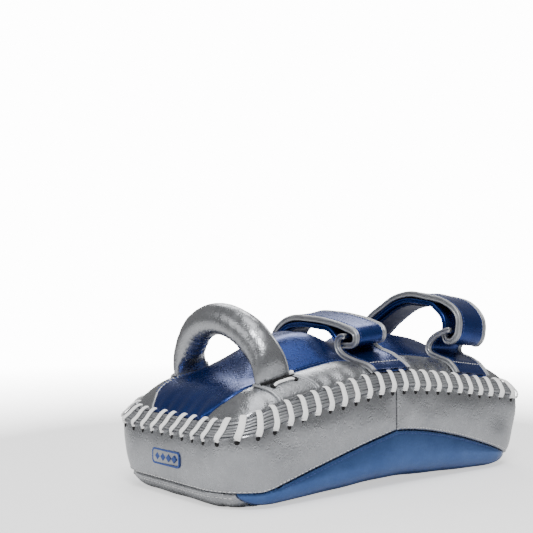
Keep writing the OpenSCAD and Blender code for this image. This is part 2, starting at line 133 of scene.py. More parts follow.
def pattern_y(x):
    """Half width of the silver strike panels: narrow at the waist, wide past the shoulders."""
    return np.interp(np.abs(x), PATTERN_X, PATTERN_HALF)


def inset_at(x, y):
    """Distance of a plan point in from the pad's outline."""
    qx = np.abs(x) - (HALF_L - CORNER)
    qy = np.abs(y) - (HALF_W - CORNER)
    outside = np.hypot(np.maximum(qx, 0.0), np.maximum(qy, 0.0))
    return CORNER - outside - np.minimum(np.maximum(qx, qy), 0.0)


def rounding(d):
    """Rise of the strike face where it turns up into the side wall."""
    t = clamp((FACE_ROUND_WIDTH - d) / FACE_ROUND_WIDTH)
    return FACE_ROUND_HEIGHT * (1 - np.sqrt(1 - t * t))


def ease_out(t):
    """Rise from 0 to 1, steep at first and level at the end."""
    return 1 - (1 - clamp(t)) ** 2.2


# The cushion's height along the pad: the table above, smoothed.
STATIONS = np.arange(-220.0, 221.0, 2.0)
SPREAD = np.exp(-(np.arange(-24.0, 25.0, 2.0) / 9.0) ** 2)
CUSHION_RUN = np.convolve(np.interp(STATIONS, CUSHION_X, CUSHION_SHARE), SPREAD / SPREAD.sum(), "same")


def cushion(x, d):
    """Extra height of the forearm cushion; its sides are fuller away from the waist."""
    t = clamp((d - HALF_W + BLUE_HALF_WIDTH) / CUSHION_SHOULDER)
    full = FULL_SIDE * clamp((np.abs(x - FULL_CENTRE) - FULL_FROM) / FULL_FADE_IN)
    full = full * clamp((FULL_TO - np.abs(x)) / FULL_FADE_OUT)
    side = (1 - full) * smooth(t) + full * ease_out(0.85 * t)
    return CUSHION_HEIGHT * np.interp(x, STATIONS, CUSHION_RUN) * side


def end_drop(x):
    """How much lower the rim stands round the hand end."""
    return RIM_DROP * smooth(clamp((-x - RIM_DROP_START) / RIM_DROP_LENGTH))


def back_z(x, d):
    """Height of the back above the floor, d in from the outline."""
    puffed = ease_out((d - RIM_INSET) / 30.0)
    hollow = WAIST_HOLLOW * puffed * np.maximum(0.0, 1 - (x / 52.0) ** 2) ** 2
    crown = BACK_CROWN * ease_out((d - RIM_INSET) / (HALF_W - RIM_INSET))
    rim = edge_z(x) + RIM_BASE + RIM_RISE
    return rim + BACK_PUFF * puffed + crown - hollow + cushion(x, d) - end_drop(x)


STRAIGHT_X = 2 * (HALF_L - CORNER)
STRAIGHT_Y = 2 * (HALF_W - CORNER)
ARC = math.pi * CORNER / 2
PERIMETER = 2 * (STRAIGHT_X + STRAIGHT_Y) + 4 * ARC


def outline(s):
    """Plan point and outward direction at distance s round the outline, from the waist on the -Y side
    towards the elbow end."""
    s = s % PERIMETER
    a, b = HALF_L - CORNER, HALF_W - CORNER
    runs = [
        (a, lambda t: (t, -HALF_W, -90.0)),
        (ARC, lambda t: corner_point(a, -b, -90.0, t)),
        (STRAIGHT_Y, lambda t: (HALF_L, -b + t, 0.0)),
        (ARC, lambda t: corner_point(a, b, 0.0, t)),
        (STRAIGHT_X, lambda t: (a - t, HALF_W, 90.0)),
        (ARC, lambda t: corner_point(-a, b, 90.0, t)),
        (STRAIGHT_Y, lambda t: (-HALF_L, b - t, 180.0)),
        (ARC, lambda t: corner_point(-a, -b, 180.0, t)),
        (a, lambda t: (-a + t, -HALF_W, 270.0)),
    ]
    for length, place in runs:
        if s <= length:
            x, y, angle = place(s)
            turn = math.radians(angle)
            return x, y, math.cos(turn), math.sin(turn)
        s -= length
    return 0.0, -HALF_W, 0.0, -1.0


def corner_point(cx, cy, start, t):
    """Plan point and outward angle at distance t round a corner with its centre at cx, cy."""
    angle = start + math.degrees(t / CORNER)
    turn = math.radians(angle)
    return cx + CORNER * math.cos(turn), cy + CORNER * math.sin(turn), angle


# ---------------------------------------------------------------- mesh tools


def grid_faces(rows, columns, wrap_rows=False, wrap_columns=False, start=0, flip=False):
    """Four-sided faces of a grid of points, numbered row by row from start."""
    faces = []
    for i in range(rows if wrap_rows else rows - 1):
        for j in range(columns if wrap_columns else columns - 1):
            a = start + i * columns + j
            b = start + ((i + 1) % rows) * columns + j
            c = start + ((i + 1) % rows) * columns + (j + 1) % columns
            d = start + i * columns + (j + 1) % columns
            faces.append((a, d, c, b) if flip else (a, b, c, d))
    return faces


def flared(points):
    """The pad's corners grow sharper and its end walls lean out a little towards the rim."""
    points = np.array(points, float)
    arm = np.abs(points[:, :2]) - np.array([HALF_L - CORNER, HALF_W - CORNER])
    reach = np.linalg.norm(arm, axis=1)
    way = arm / np.maximum(reach, 1e-6)[:, None]
    step = CORNER - RIM_CORNER
    middle = way.sum(axis=1) * step
    sharp = middle + np.sqrt(np.maximum(middle ** 2 - 2 * step ** 2 + RIM_CORNER ** 2, 0.0))
    flat = CORNER / np.maximum(way.max(axis=1), 1e-6)
    on_arc = (sharp[:, None] * way > step).all(axis=1)
    grow = np.where(on_arc, sharp, flat) / CORNER - 1
    grow *= (arm > 0).all(axis=1) * clamp(reach / CORNER) ** 2
    grow *= smooth(clamp((points[:, 2] - SHARPEN_FROM) / SHARPEN_RISE))
    points[:, :2] += np.sign(points[:, :2]) * arm * grow[:, None]
    x, z = points[:, 0], points[:, 2]
    share = np.clip((np.abs(x) - FLARE_START) / (HALF_L - FLARE_START), 0.0, 1.2)
    reach = np.where(x > 0, ELBOW_FLARE, -HAND_FLARE)
    points[:, 0] += reach * share ** 1.6 * np.clip(z / FLARE_HEIGHT, 0.0, 1.3)
    return points


def make_mesh(name, points, faces, material):
    """Smooth-shaded object in the scene, from points in millimetres."""
    mesh = bpy.data.meshes.new(name)
    mesh.from_pydata((flared(points) * MM).tolist(), [], faces)
    mesh.polygons.foreach_set("use_smooth", [True] * len(mesh.polygons))
    mesh.materials.append(material)
    mesh.update()
    obj = bpy.data.objects.new(name, mesh)
    bpy.context.scene.collection.objects.link(obj)
    return obj


def unit(v):
    return v / np.maximum(np.linalg.norm(v, axis=-1, keepdims=True), 1e-9)


PAD_MIDDLE = np.array([0.0, 0.0, 50.0])


def grid_normals(grid):
    """Unit normals of a (rows, columns, 3) grid, pointing away from the middle of the pad."""
    normals = unit(np.cross(np.gradient(grid, axis=0), np.gradient(grid, axis=1)))
    away = np.sum(normals * (grid - PAD_MIDDLE), axis=-1)
    return normals if np.mean(away) > 0 else -normals


def edge_distance(grid):
    """Distance along the grid's lines to the nearest of its four edges."""
    down = np.linalg.norm(np.diff(grid, axis=0), axis=2)
    across = np.linalg.norm(np.diff(grid, axis=1), axis=2)
    from_top = np.vstack([np.zeros((1, grid.shape[1])), np.cumsum(down, axis=0)])
    from_left = np.hstack([np.zeros((grid.shape[0], 1)), np.cumsum(across, axis=1)])
    return np.minimum.reduce([from_top, from_top[-1] - from_top, from_left, from_left[:, -1:] - from_left])


def tucked(distance, depth=2.4, radius=4.0):
    """How far leather dips into a seam at this distance from it."""
    t = 1 - clamp(distance / radius)
    return -depth * (1 - np.sqrt(1 - t * t))


def padded(distance, rise, reach):
    """How far a stuffed panel stands out at this distance from its seams."""
    return rise * ease_out(distance / reach)


def shell(name, outer, material, thickness=LEATHER):
    """Closed leather sheet: the outer grid, an inner copy set back by thickness, and the four edges."""
    normals = grid_normals(outer)
    inner = outer - normals * thickness
    rows, columns = outer.shape[:2]
    count = rows * columns
    middle_row, middle_column = rows // 2, columns // 2
    here = outer[middle_row, middle_column]
    down, right = outer[middle_row + 1, middle_column], outer[middle_row, middle_column + 1]
    facing = np.cross(down - here, right - here)
    flip = np.dot(facing, normals[middle_row, middle_column]) < 0
    faces = grid_faces(rows, columns, flip=flip) + grid_faces(rows, columns, start=count, flip=not flip)
    rim = [(0, j) for j in range(columns)] + [(i, columns - 1) for i in range(1, rows)]
    rim += [(rows - 1, j) for j in range(columns - 2, -1, -1)] + [(i, 0) for i in range(rows - 2, 0, -1)]
    index = [i * columns + j for i, j in rim]
    for k, a in enumerate(index):
        b = index[(k + 1) % len(index)]
        faces.append((b, a, a + count, b + count) if flip else (a, b, b + count, a + count))
    points = np.vstack([outer.reshape(-1, 3), inner.reshape(-1, 3)])
    return make_mesh(name, points, faces, material)


def spread(length, coarse=4.0, fine=0.9, margin=5.0):
    """Sample places from 0 to 1 along a length: fine near both ends, coarse between."""
    if length < 2.5 * margin:
        return np.linspace(0, 1, 8)
    near = np.arange(0, margin, fine)
    middle = np.linspace(margin, length - margin, max(3, int((length - 2 * margin) / coarse)))
    return np.concatenate([near, middle, length - near[::-1]]) / length


def wide_spread(*lengths):
    """The same places, from -1 to 1."""
    return 2 * spread(*lengths) - 1


def running_length(points):
    """Distance along a polyline to each of its points."""
    return np.concatenate([[0], np.cumsum(np.linalg.norm(np.diff(points, axis=0), axis=1))])


def resample(points, places):
    """Points at the given shares of a polyline's length."""
    points = np.asarray(points, float)
    along = running_length(points)
    along = along / max(along[-1], 1e-9)
    return np.stack([np.interp(places, along, points[:, k]) for k in range(points.shape[1])], axis=1)


def spline(points, steps=8):
    """Smooth curve through points."""
    points = np.asarray(points, float)
    padded_points = np.vstack([2 * points[0] - points[1], points, 2 * points[-1] - points[-2]])
    curve = []
    for i in range(1, len(padded_points) - 2):
        a, b, c, d = padded_points[i - 1:i + 3]
        for k in range(steps):
            t = k / steps
            curve.append(0.5 * (2 * b + (c - a) * t + (2 * a - 5 * b + 4 * c - d) * t * t
                                + (3 * b - a - 3 * c + d) * t ** 3))
    curve.append(padded_points[-2])
    return np.array(curve)


def sweep(frames, profile):
    """Rings of a tube: frames are (origin, side, up) triples, and profile is a loop of (side, up) points or
    one loop per frame."""
    profile = np.asarray(profile, float)
    loops = profile if profile.ndim == 3 else [profile] * len(frames)
    return np.array([origin + loop[:, :1] * side + loop[:, 1:] * up
                     for (origin, side, up), loop in zip(frames, loops)])


def tube(name, rings, material, closed=False):
    """Tube through rings of points, with flat ends unless it closes on itself."""
    rows, columns = rings.shape[:2]
    faces = grid_faces(rows, columns, wrap_rows=closed, wrap_columns=True)
    if not closed:
        faces += [tuple(range(columns))[::-1], tuple((rows - 1) * columns + j for j in range(columns))]
    obj = make_mesh(name, rings.reshape(-1, 3), faces, material)
    outward(obj)
    return obj


def outward(obj):
    """Turns an object's faces to point out of its volume."""
    mesh = obj.data
    volume = 0.0
    for polygon in mesh.polygons:
        corners = [mesh.vertices[v].co for v in polygon.vertices]
        for k in range(1, len(corners) - 1):
            volume += corners[0].dot(corners[k].cross(corners[k + 1]))
    if volume < 0:
        mesh.flip_normals()


def ellipse(width, height, count, power=1.0):
    """Loop of (side, up) points; a power below 1 squares it off."""
    angles = np.arange(count) * 2 * math.pi / count
    return np.stack([squared(np.cos(angles), power) * width, squared(np.sin(angles), power) * height], axis=1)


def squared(v, power):
    return np.sign(v) * np.abs(v) ** power


def circle(centre, radius, first, second, count):
    """Points round centre in the plane of two unit directions."""
    angles = np.arange(count) * 2 * math.pi / count
    return [centre + radius * (math.cos(a) * first + math.sin(a) * second) for a in angles]


def joined_tubes(name, parts, material):
    """One mesh of several tubes, each a (rings, columns, 3) array."""
    points, faces, start = [], [], 0
    for rings in parts:
        rows, columns = rings.shape[:2]
        ring = rings[rows // 2]
        across = np.cross(ring[1] - ring[0], rings[rows // 2 + 1, 0] - ring[0])
        flip = np.dot(across, ring[0] - ring.mean(axis=0)) > 0
        faces += grid_faces(rows, columns, wrap_columns=True, start=start, flip=not flip)
        first = tuple(start + j for j in range(columns))
        last = tuple(start + (rows - 1) * columns + j for j in range(columns))
        faces += [first[::-1], last] if not flip else [first, last[::-1]]
        points.append(rings.reshape(-1, 3))
        start += rows * columns
    return make_mesh(name, np.vstack(points), faces, material)


def thread_rings(start, end, normal, radius):
    """One stitch: a capsule from start to end, sunk a little into the leather."""
    along = unit(end - start)
    side = unit(np.cross(along, normal))
    up = np.cross(side, along)
    rings = []
    for t, share in ((0.0, 0.35), (0.12, 0.85), (0.5, 1.0), (0.88, 0.85), (1.0, 0.35)):
        centre = start + (end - start) * t + up * radius * (0.9 - 2.2 * (t - 0.5) ** 2)
        rings.append(circle(centre, radius * share, side, up, 6))
    return np.array(rings)


def stitches(points, normals, pitch, share=0.72, radius=0.42):
    """Row of stitches along a polyline on a surface; share is how much of the pitch a stitch takes up."""
    points, normals = np.asarray(points, float), np.asarray(normals, float)
    count = max(2, int(running_length(points)[-1] / pitch))
    starts = resample(points, np.arange(count) / count)
    ends = resample(points, (np.arange(count) + share) / count)
    facing = unit(resample(normals, (np.arange(count) + share / 2) / count))
    return [thread_rings(a, b, n, radius) for a, b, n in zip(starts, ends, facing)]


# ---------------------------------------------------------------- materials


def new_material(name):
    material = bpy.data.materials.new(name)
    material.use_nodes = True
    tree = material.node_tree
    shader = tree.nodes["Principled BSDF"]
    return material, tree, shader


def set_inputs(made, **values):
    """Sets unlinked inputs by name, with _ in place of a space."""
    for key, value in values.items():
        made.inputs[key.replace("_", " ")].default_value = value


def node(tree, kind, **values):
    """New shader node; each value is for the input of that name, or else for the setting."""
    made = tree.nodes.new(kind)
    for key, value in values.items():
        if key in made.inputs:
            made.inputs[key].default_value = value
        else:
            setattr(made, key, value)
    return made


def position(tree):
    return node(tree, "ShaderNodeTexCoord").outputs["Object"]


def noise(tree, where, scale, detail=3.0, roughness=0.55):
    made = node(tree, "ShaderNodeTexNoise", Scale=scale, Detail=detail, Roughness=roughness)
    tree.links.new(where, made.inputs["Vector"])
    return made.outputs["Fac"]


def ramp(tree, value, low, high, start=0.0, end=1.0):
    """Straight rise from start to end as value goes from low to high."""
    made = node(tree, "ShaderNodeMapRange")
    set_inputs(made, From_Min=low, From_Max=high, To_Min=start, To_Max=end)
    tree.links.new(value, made.inputs["Value"])
    return made.outputs["Result"]


def mix_colour(tree, share, first, second):
    made = node(tree, "ShaderNodeMix", data_type="RGBA")
    tree.links.new(share, made.inputs["Factor"])
    for socket, value in ((made.inputs[6], first), (made.inputs[7], second)):
        if isinstance(value, tuple):
            socket.default_value = (*value, 1.0)
        else:
            tree.links.new(value, socket)
    return made.outputs[2]


def bump(tree, height, strength, distance, below=None):
    made = node(tree, "ShaderNodeBump", Strength=strength, Distance=distance)
    tree.links.new(height, made.inputs["Height"])
    if below is not None:
        tree.links.new(below, made.inputs["Normal"])
    return made.outputs["Normal"]


WARP = 0.0016


def leather(name, colour, dark, ridge_highlight, metallic, rough, grain=1.0):
    """Metallic coated leather: pebbled grain, fine creases, uneven colour and a painted highlight that makes
    convex ridges paler.
    """
    material, tree, shader = new_material(name)
    where = position(tree)
    cells = node(tree, "ShaderNodeTexVoronoi", Scale=620.0, feature="SMOOTH_F1", Smoothness=0.7)
    warp = node(tree, "ShaderNodeVectorMath", operation="MULTIPLY_ADD")
    warp_noise = node(tree, "ShaderNodeTexNoise", Scale=260.0, Detail=2.0)
    tree.links.new(where, warp_noise.inputs["Vector"])
    tree.links.new(warp_noise.outputs["Color"], warp.inputs[0])
    warp.inputs[1].default_value = (WARP, WARP, WARP)
    tree.links.new(where, warp.inputs[2])
    tree.links.new(warp.outputs["Vector"], cells.inputs["Vector"])
    creases = noise(tree, where, 150.0, 6.0, 0.62)
    cloud = noise(tree, where, 22.0, 4.0, 0.6)
    set_inputs(shader, Metallic=metallic, Specular_IOR_Level=0.5, Coat_Weight=0.12, Coat_Roughness=0.35)
    base = mix_colour(tree, ramp(tree, cloud, 0.3, 0.72), dark, colour)
    pores = ramp(tree, cells.outputs["Distance"], 0.25, 0.85, 0.0, 0.35)
    base = mix_colour(tree, pores, base, dark)
    # Painted highlight: the colour turns paler on the mesh's convex ridges.
    edges = node(tree, "ShaderNodeNewGeometry").outputs["Pointiness"]
    base = mix_colour(tree, ramp(tree, edges, 0.52, 0.6, 0.0, 0.45), base, ridge_highlight)
    tree.links.new(base, shader.inputs["Base Color"])
    tree.links.new(ramp(tree, creases, 0.3, 0.7, rough[0], rough[1]), shader.inputs["Roughness"])
    coarse = bump(tree, cells.outputs["Distance"], 0.34 * grain, 0.0004)
    tree.links.new(bump(tree, creases, 0.22 * grain, 0.0005, coarse), shader.inputs["Normal"])
    return material


def cloth(name, colour, dark, threads=1400.0, rough=0.85, sheen=0.3, strength=0.5):
    """Woven cord or tape: crossed threads, fuzz and a little grime."""
    material, tree, shader = new_material(name)
    where = position(tree)
    weave = node(tree, "ShaderNodeMath", operation="MULTIPLY")
    for socket, direction in zip(weave.inputs, "XZ"):
        wave = node(tree, "ShaderNodeTexWave", Scale=threads / 6.0, Distortion=1.5, Detail=2.0)
        wave.bands_direction = direction
        tree.links.new(where, wave.inputs["Vector"])
        tree.links.new(wave.outputs["Fac"], socket)
    grime = noise(tree, where, 60.0, 5.0, 0.65)
    base = mix_colour(tree, ramp(tree, grime, 0.42, 0.75, 0.0, 0.6), colour, dark)
    tree.links.new(base, shader.inputs["Base Color"])
    set_inputs(shader, Roughness=rough, Sheen_Weight=sheen)
    fuzz = bump(tree, noise(tree, where, 900.0, 2.0), 0.25, 0.0003)
    tree.links.new(bump(tree, weave.outputs["Value"], strength, 0.0004, fuzz), shader.inputs["Normal"])
    return material


def foam(name, colour):
    """Closed-cell foam: small pits on a matte block."""
    material, tree, shader = new_material(name)
    where = position(tree)
    cells = node(tree, "ShaderNodeTexVoronoi", Scale=900.0)
    tree.links.new(where, cells.inputs["Vector"])
    light = tuple(min(1.0, c * 1.7) for c in colour)
    tree.links.new(mix_colour(tree, noise(tree, where, 40.0), colour, light), shader.inputs["Base Color"])
    shader.inputs["Roughness"].default_value = 0.95
    tree.links.new(bump(tree, cells.outputs["Distance"], 0.6, 0.0006), shader.inputs["Normal"])
    return material


# The third colour of each leather is its painted highlight on convex ridges.
SILVER = leather("silver_leather", (0.47, 0.48, 0.50), (0.33, 0.34, 0.36), (0.66, 0.67, 0.69),
                 0.92, (0.22, 0.36), 1.35)
SILVER_RIM = leather("rim_leather", (0.46, 0.47, 0.49), (0.22, 0.23, 0.25), (0.78, 0.79, 0.8),
                     0.85, (0.26, 0.46), 1.5)
BLUE_LIGHT = leather("blue_leather_light", (0.085, 0.165, 0.40), (0.05, 0.11, 0.30), (0.14, 0.25, 0.52),
                     0.8, (0.3, 0.44))
BLUE_DARK = leather("blue_leather_dark", (0.016, 0.05, 0.235), (0.008, 0.028, 0.15), (0.07, 0.14, 0.44),
                    0.8, (0.22, 0.36))
BINDING = leather("silver_binding", (0.50, 0.51, 0.53), (0.34, 0.35, 0.37), (0.72, 0.73, 0.75),
                  0.6, (0.35, 0.5), 0.8)
LINING = leather("blue_lining", (0.012, 0.03, 0.13), (0.006, 0.016, 0.08), (0.04, 0.08, 0.22),
                 0.25, (0.45, 0.6))
WHITE = (1.0, 1.0, 1.0, 1.0)
CORD = cloth("white_cord", (0.97, 0.97, 0.96), (0.8, 0.8, 0.79))
# Painted light: the cord glows a little so that it stays bright white in shade.
set_inputs(CORD.node_tree.nodes["Principled BSDF"], Emission_Color=WHITE, Emission_Strength=0.3)
THREAD_SILVER = cloth("pale_thread", (0.8, 0.8, 0.8), (0.6, 0.6, 0.6), 3000.0, 0.6, 0.2, 0.3)
THREAD_BLUE = cloth("blue_thread", (0.03, 0.07, 0.28), (0.02, 0.04, 0.18), 3000.0, 0.55, 0.2, 0.3)
TAPE = cloth("hook_and_loop", (0.02, 0.02, 0.025), (0.05, 0.05, 0.055), 4200.0, 0.95, 0.5, 1.0)
# Painted shade: near-black for the insides of the lace holes, the tab eyelets and the groove across each tab.
HOLE_SHADE = foam("hole_shadow", (0.006, 0.006, 0.007))
FOAM = foam("foam", (0.11, 0.11, 0.12))


def place(piece, slot, *replaced):
    """The piece rides the pad and stands in for these CAD parts; slot is not used."""
    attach(piece, "pad")
    if replaced:
        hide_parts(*replaced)


def place_blended(piece, body, start, end, slot, *replaced):
    """Bakes the piece's placement into its mesh and stands in for these CAD parts; body, start, end and slot
    are not used.
    """
    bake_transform(piece)
    if replaced:
        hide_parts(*replaced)


# ---------------------------------------------------------------- strike face and side walls


def strike_point(x, y):
    """Height of the strike face."""
    return face_z(x) + rounding(inset_at(x, y))


def seam_inset(x):
    """How far in from the outline the strike seam runs, where it crosses the rounding."""
    rise = np.clip(seam_z(x) - face_z(x), 0.0, FACE_ROUND_HEIGHT)
    return FACE_ROUND_WIDTH * (1 - np.sqrt(1 - (1 - rise / FACE_ROUND_HEIGHT) ** 2))


def ripples(grid, amplitude, scale, seed):
    """Slow unevenness of stuffed leather, from a few fixed waves."""
    random = np.random.default_rng(seed)
    total = np.zeros(grid.shape[:2])
    for _ in range(7):
        direction = unit(random.normal(size=3))
        phase = random.uniform(0, 2 * math.pi)
        total += np.sin(grid @ direction * 2 * math.pi / (scale * random.uniform(0.6, 1.7)) + phase)
    return amplitude * total / 7 ** 0.5


def finished(grid, rise, reach, seed, unevenness=0.25, extra=0.0):
    """Outer surface of a stuffed panel: crowned between its seams and tucked into them."""
    distance = edge_distance(grid)
    out = padded(distance, rise, reach) + tucked(distance)
    out += ripples(grid, unevenness, 45.0, seed) * clamp(distance / 15.0) + extra
    return grid + grid_normals(grid) * out[..., None]


def silver_strike_grid(side):
    """Rows from the waist to the end seam, columns across."""
    lines = []
    for f in wide_spread(170.0, 4.5, 1.1):
        x = np.linspace(0.0, HALF_L, 700)
        y = f * pattern_y(x)
        z = strike_point(side * x, y)
        inside = inset_at(x, y) > seam_inset(side * x)
        last = np.argmax(~inside) if not inside.all() else len(x)
        line = np.stack([side * x, y, z], axis=1)[:max(last, 2)]
        lines.append(resample(line, spread(HALF_L, 4.5, 1.1)))
    return np.stack(lines, axis=1)


def waist_gathers(grid, depth=1.3, pitch=6.0, reach=26.0):
    """Short folds in the leather that fan out from the waist seam."""
    fade = np.exp(-(np.abs(grid[..., 0]) / reach) ** 1.5) * clamp(1 - np.abs(grid[..., 1]) / 34.0)
    return depth * fade * np.cos(2 * math.pi * grid[..., 1] / (pitch + np.abs(grid[..., 0]) * 0.12))


CREASE_X, CREASE_HALF = [0, 45, 192], [6.0, 41.0, 66.0]
CREASE_DEPTH, CREASE_WIDTH = 0.9, 3.2


def moulded_crease(grid):
    """Faint moulded crease inside the edges of the silver panels."""
    x, y = np.abs(grid[..., 0]), np.abs(grid[..., 1])
    line = np.interp(x, CREASE_X, CREASE_HALF)
    return -CREASE_DEPTH * np.exp(-((y - line) / CREASE_WIDTH) ** 2) * clamp((x - 30) / 30)


strike_grids = {}
for name, side, seed in (("strike_panel_hand", -1, 11), ("strike_panel_elbow", 1, 12)):
    base = silver_strike_grid(side)
    extra = waist_gathers(base) + moulded_crease(base)
    surface = finished(base, 2.6, 26.0, seed, extra=extra)
    surface[..., 2] = np.maximum(surface[..., 2], 0.0)
    strike_grids[name] = surface
    place(shell(name, surface, SILVER), "silver_leather", name)


def plan_half(x, radius):
    """Half width of the plan at x, when its corners have this radius about the outline's centres."""
    past = max(abs(x) - (HALF_L - CORNER), 0.0)
    return HALF_W - CORNER + math.sqrt(max(radius ** 2 - past ** 2, 0.0))


def side_profile(x, side, start_y):
    """Section of the strike face at x, from the pattern line out to the strike seam."""
    half = plan_half(x, CORNER)
    y = np.linspace(min(start_y, half - 0.6), half, 160)
    z = strike_point(np.full_like(y, x), y)
    top = at(seam_z, x)
    keep = z <= top
    keep[:2] = True
    y, z = y[keep], z[keep]
    if z[-1] < top - 0.05 and keep.all():
        climb = np.linspace(z[-1], top, 30)[1:]
        y, z = np.concatenate([y, np.full_like(climb, half)]), np.concatenate([z, climb])
    return np.stack([np.full_like(y, x), side * y, z], axis=1)


TIP = 187.0
station_x = wide_spread(2 * TIP, 4.0, 1.1) * TIP
for name, side, seed in (("strike_panel_left", 1, 13), ("strike_panel_right", -1, 14)):
    lines = [side_profile(x, side, at(pattern_y, x)) for x in station_x]
    base = np.array([resample(line, spread(80.0, 3.5, 1.0)) for line in lines])
    surface = finished(base, 3.0, 24.0, seed)
    surface[..., 2] = np.maximum(surface[..., 2], 0.0)
    strike_grids[name] = surface
    place(shell(name, surface, BLUE_LIGHT), "blue_leather_light", name)


def wall_line(s):
    """Side wall section at s: from the strike seam up to the rim."""
    x, y, nx, ny = outline(s)
    d = np.linspace(at(seam_inset, x), 0.0, 24)
    px, py = x - nx * d, y - ny * d
    pz = strike_point(px, py)
    climb = np.linspace(max(at(seam_z, x), pz[-1]), at(edge_z, x) + RIM_BASE, 60)
    wall = np.stack([np.full_like(climb, x), np.full_like(climb, y), climb], axis=1)
    if at(seam_z, x) - at(face_z, x) >= FACE_ROUND_HEIGHT:
        return wall
    return np.vstack([np.stack([px, py, pz], axis=1), wall[1:]])


# A wall's first section is taken this far past the waist.
JUST_PAST = 1e-4
for name, start, seed in (("side_wall_elbow", 0.0, 21), ("side_wall_hand", PERIMETER / 2, 22)):
    places = spread(PERIMETER / 2, 4.0, 1.0) * PERIMETER / 2 + start
    places[0] += JUST_PAST
    base = np.array([resample(wall_line(s), spread(64.0, 4.0, 1.0)) for s in places])
    surface = finished(base, 2.4, 22.0, seed, unevenness=0.4)
    place(shell(name, surface, SILVER), "silver_leather", name)
    strike_grids[name] = surface


# ---------------------------------------------------------------- rim and lacing


def along_outline(x, y):
    """Distance s round the outline at the point nearest to each plan point."""
    a, b = HALF_L - CORNER, HALF_W - CORNER
    angle = np.arctan2(y - np.clip(y, -b, b), x - np.clip(x, -a, a))
    in_corner = (np.abs(x) > a) & (np.abs(y) > b)
    end_nearer = HALF_L - np.abs(x) < HALF_W - np.abs(y)
    half = a + 2 * ARC + STRAIGHT_Y
    return np.select(
        [in_corner & (x > 0) & (y < 0), in_corner & (x > 0), in_corner & (y > 0), in_corner,
         end_nearer & (x > 0), end_nearer, y < 0],
        [a + CORNER * (angle + math.pi / 2), a + ARC + STRAIGHT_Y + CORNER * angle,
         half + STRAIGHT_X + CORNER * (angle - math.pi / 2),
         half + STRAIGHT_X + ARC + STRAIGHT_Y + CORNER * (angle + math.pi),
         a + ARC + y + b, half + STRAIGHT_X + ARC + b - y, x % PERIMETER],
        half + a - x)


STITCHES = round(PERIMETER / LACE_PITCH)
PITCH = PERIMETER / STITCHES


def pull(s, offset=0.0):
    """1 beside a stitch's hole and -1 halfway between two holes."""
    return np.cos(2 * math.pi * (s - offset - PITCH / 2) / PITCH)


DROP_FULL_AT = 11.0


def rim_point(s, out, up):
    """Point at s round the rim, out from the wall's edge and up from it."""
    x, y, nx, ny = outline(s)
    plan_x = np.array(x + nx * min(out, 0.0))
    drop = float(end_drop(plan_x)) * min(max(up / DROP_FULL_AT, 0.0), 1.0)
    return np.array([x + nx * out, y + ny * out, float(edge_z(plan_x)) + up - drop])


def rim_ply(name, share, *replaced):
    """One leather ply of the laced rim; share runs from the wall's edge to the back panels."""
    across = unit(np.array([RIM_RISE, RIM_INSET]))
    along = np.array([-across[1], across[0]])
    loop = ellipse(2.0, 1.52, 12, 0.7)
    rings = []
    for s in np.arange(0, PERIMETER - 1.0, 3.0):
        press = 0.3 * pull(s, LACE_LEAN * share) + 0.18 * math.sin(s / 7.3 + 9 * share) * math.sin(s / 19.0)
        drift = 0.2 * math.sin(s / 12.1 + 23 * share)
        centre = np.array([-RIM_INSET, RIM_RISE]) * share + np.array([0.0, RIM_BASE])
        centre = centre - across * press + along * drift
        rings.append([rim_point(s, *(centre + p[0] * across + p[1] * along)) for p in loop])
    place(tube(name, np.array(rings), SILVER_RIM, closed=True), "rim_leather", *replaced)


rim_ply("rim_ply_1", 0.08, "rim_welt_lower")
rim_ply("rim_ply_2", 0.285)
rim_ply("rim_ply_3", 0.49, "rim_welt_middle")
rim_ply("rim_ply_4", 0.695)
rim_ply("rim_ply_5", 0.90, "rim_welt_upper")

# Each lace stitch in (outward, up, share of the lean): out of the wall, over the plies, into the back panel.
STITCH_PATH = spline([(0.0, -2.6, 0.0), (2.1, -1.5, 0.02), (3.1, 0.8, 0.12), (2.7, 4.2, 0.32),
                      (0.7, 7.4, 0.5), (-1.5, 10.6, 0.66), (-4.0, 13.8, 0.82), (-7.2, 16.3, 0.93),
                      (-10.4, 17.0, 0.99), (-12.4, 15.4, 1.0)], 4)
# Height above the leather and radius of each ring of a lace hole.
HOLE_LIP = ((-1.6, 1.6), (-0.4, 2.3), (0.3, 2.2), (0.45, 1.2))
random = np.random.default_rng(5)
cords, lower_holes, upper_holes = [], [], []
for k in range(STITCHES):
    s = (k + 0.5) * PITCH
    lean = LACE_LEAN + random.uniform(-0.9, 0.9)
    centres = np.array([rim_point(s + lean * share, out, up) for out, up, share in STITCH_PATH])
    tangents = unit(np.gradient(centres, axis=0))
    x, y, nx, ny = outline(s + lean / 2)
    sideways = unit(np.cross(tangents, np.array([nx, ny, 0.8])))
    normals = np.cross(sideways, tangents)
    normals *= np.sign(np.sum(normals * np.array([nx, ny, 0.7]), axis=1))[:, None]
    taper = np.clip(np.sin(np.linspace(0.12, math.pi - 0.12, len(centres))) * 2.6, 0.55, 1.0)
    loops = [ellipse(2.85 * t, 0.8, 10, 0.75) for t in taper]
    cords.append(sweep(list(zip(centres, sideways, normals)), loops))
    for store, out, up, share in ((lower_holes, 1.0, -4.7, 0.0), (upper_holes, -12.0, 16.3, 1.0)):
        centre = rim_point(s + lean * share, out, up)
        facing = unit(np.array([nx, ny, 0.12] if up < 0 else [nx * 0.45, ny * 0.45, 1.0]))
        first = unit(np.cross(facing, np.array([ny, -nx, 0.05])))
        second = np.cross(facing, first)
        store.append(np.array([circle(centre + facing * h, r, first, second, 10) for h, r in HOLE_LIP]))
place(joined_tubes("rim_lace", cords, CORD), "white_cord", "rim_lacing")
# The lace holes are near-black rings: painted shade where the cord passes into the leather.
place(joined_tubes("rim_lace_holes", lower_holes + upper_holes, HOLE_SHADE), "rim_leather")

# ---------------------------------------------------------------- back panels


def back_surface(x, y):
    """Height of the back panels."""
    return back_z(x, inset_at(x, y))


RIM_GATHER = 0.65


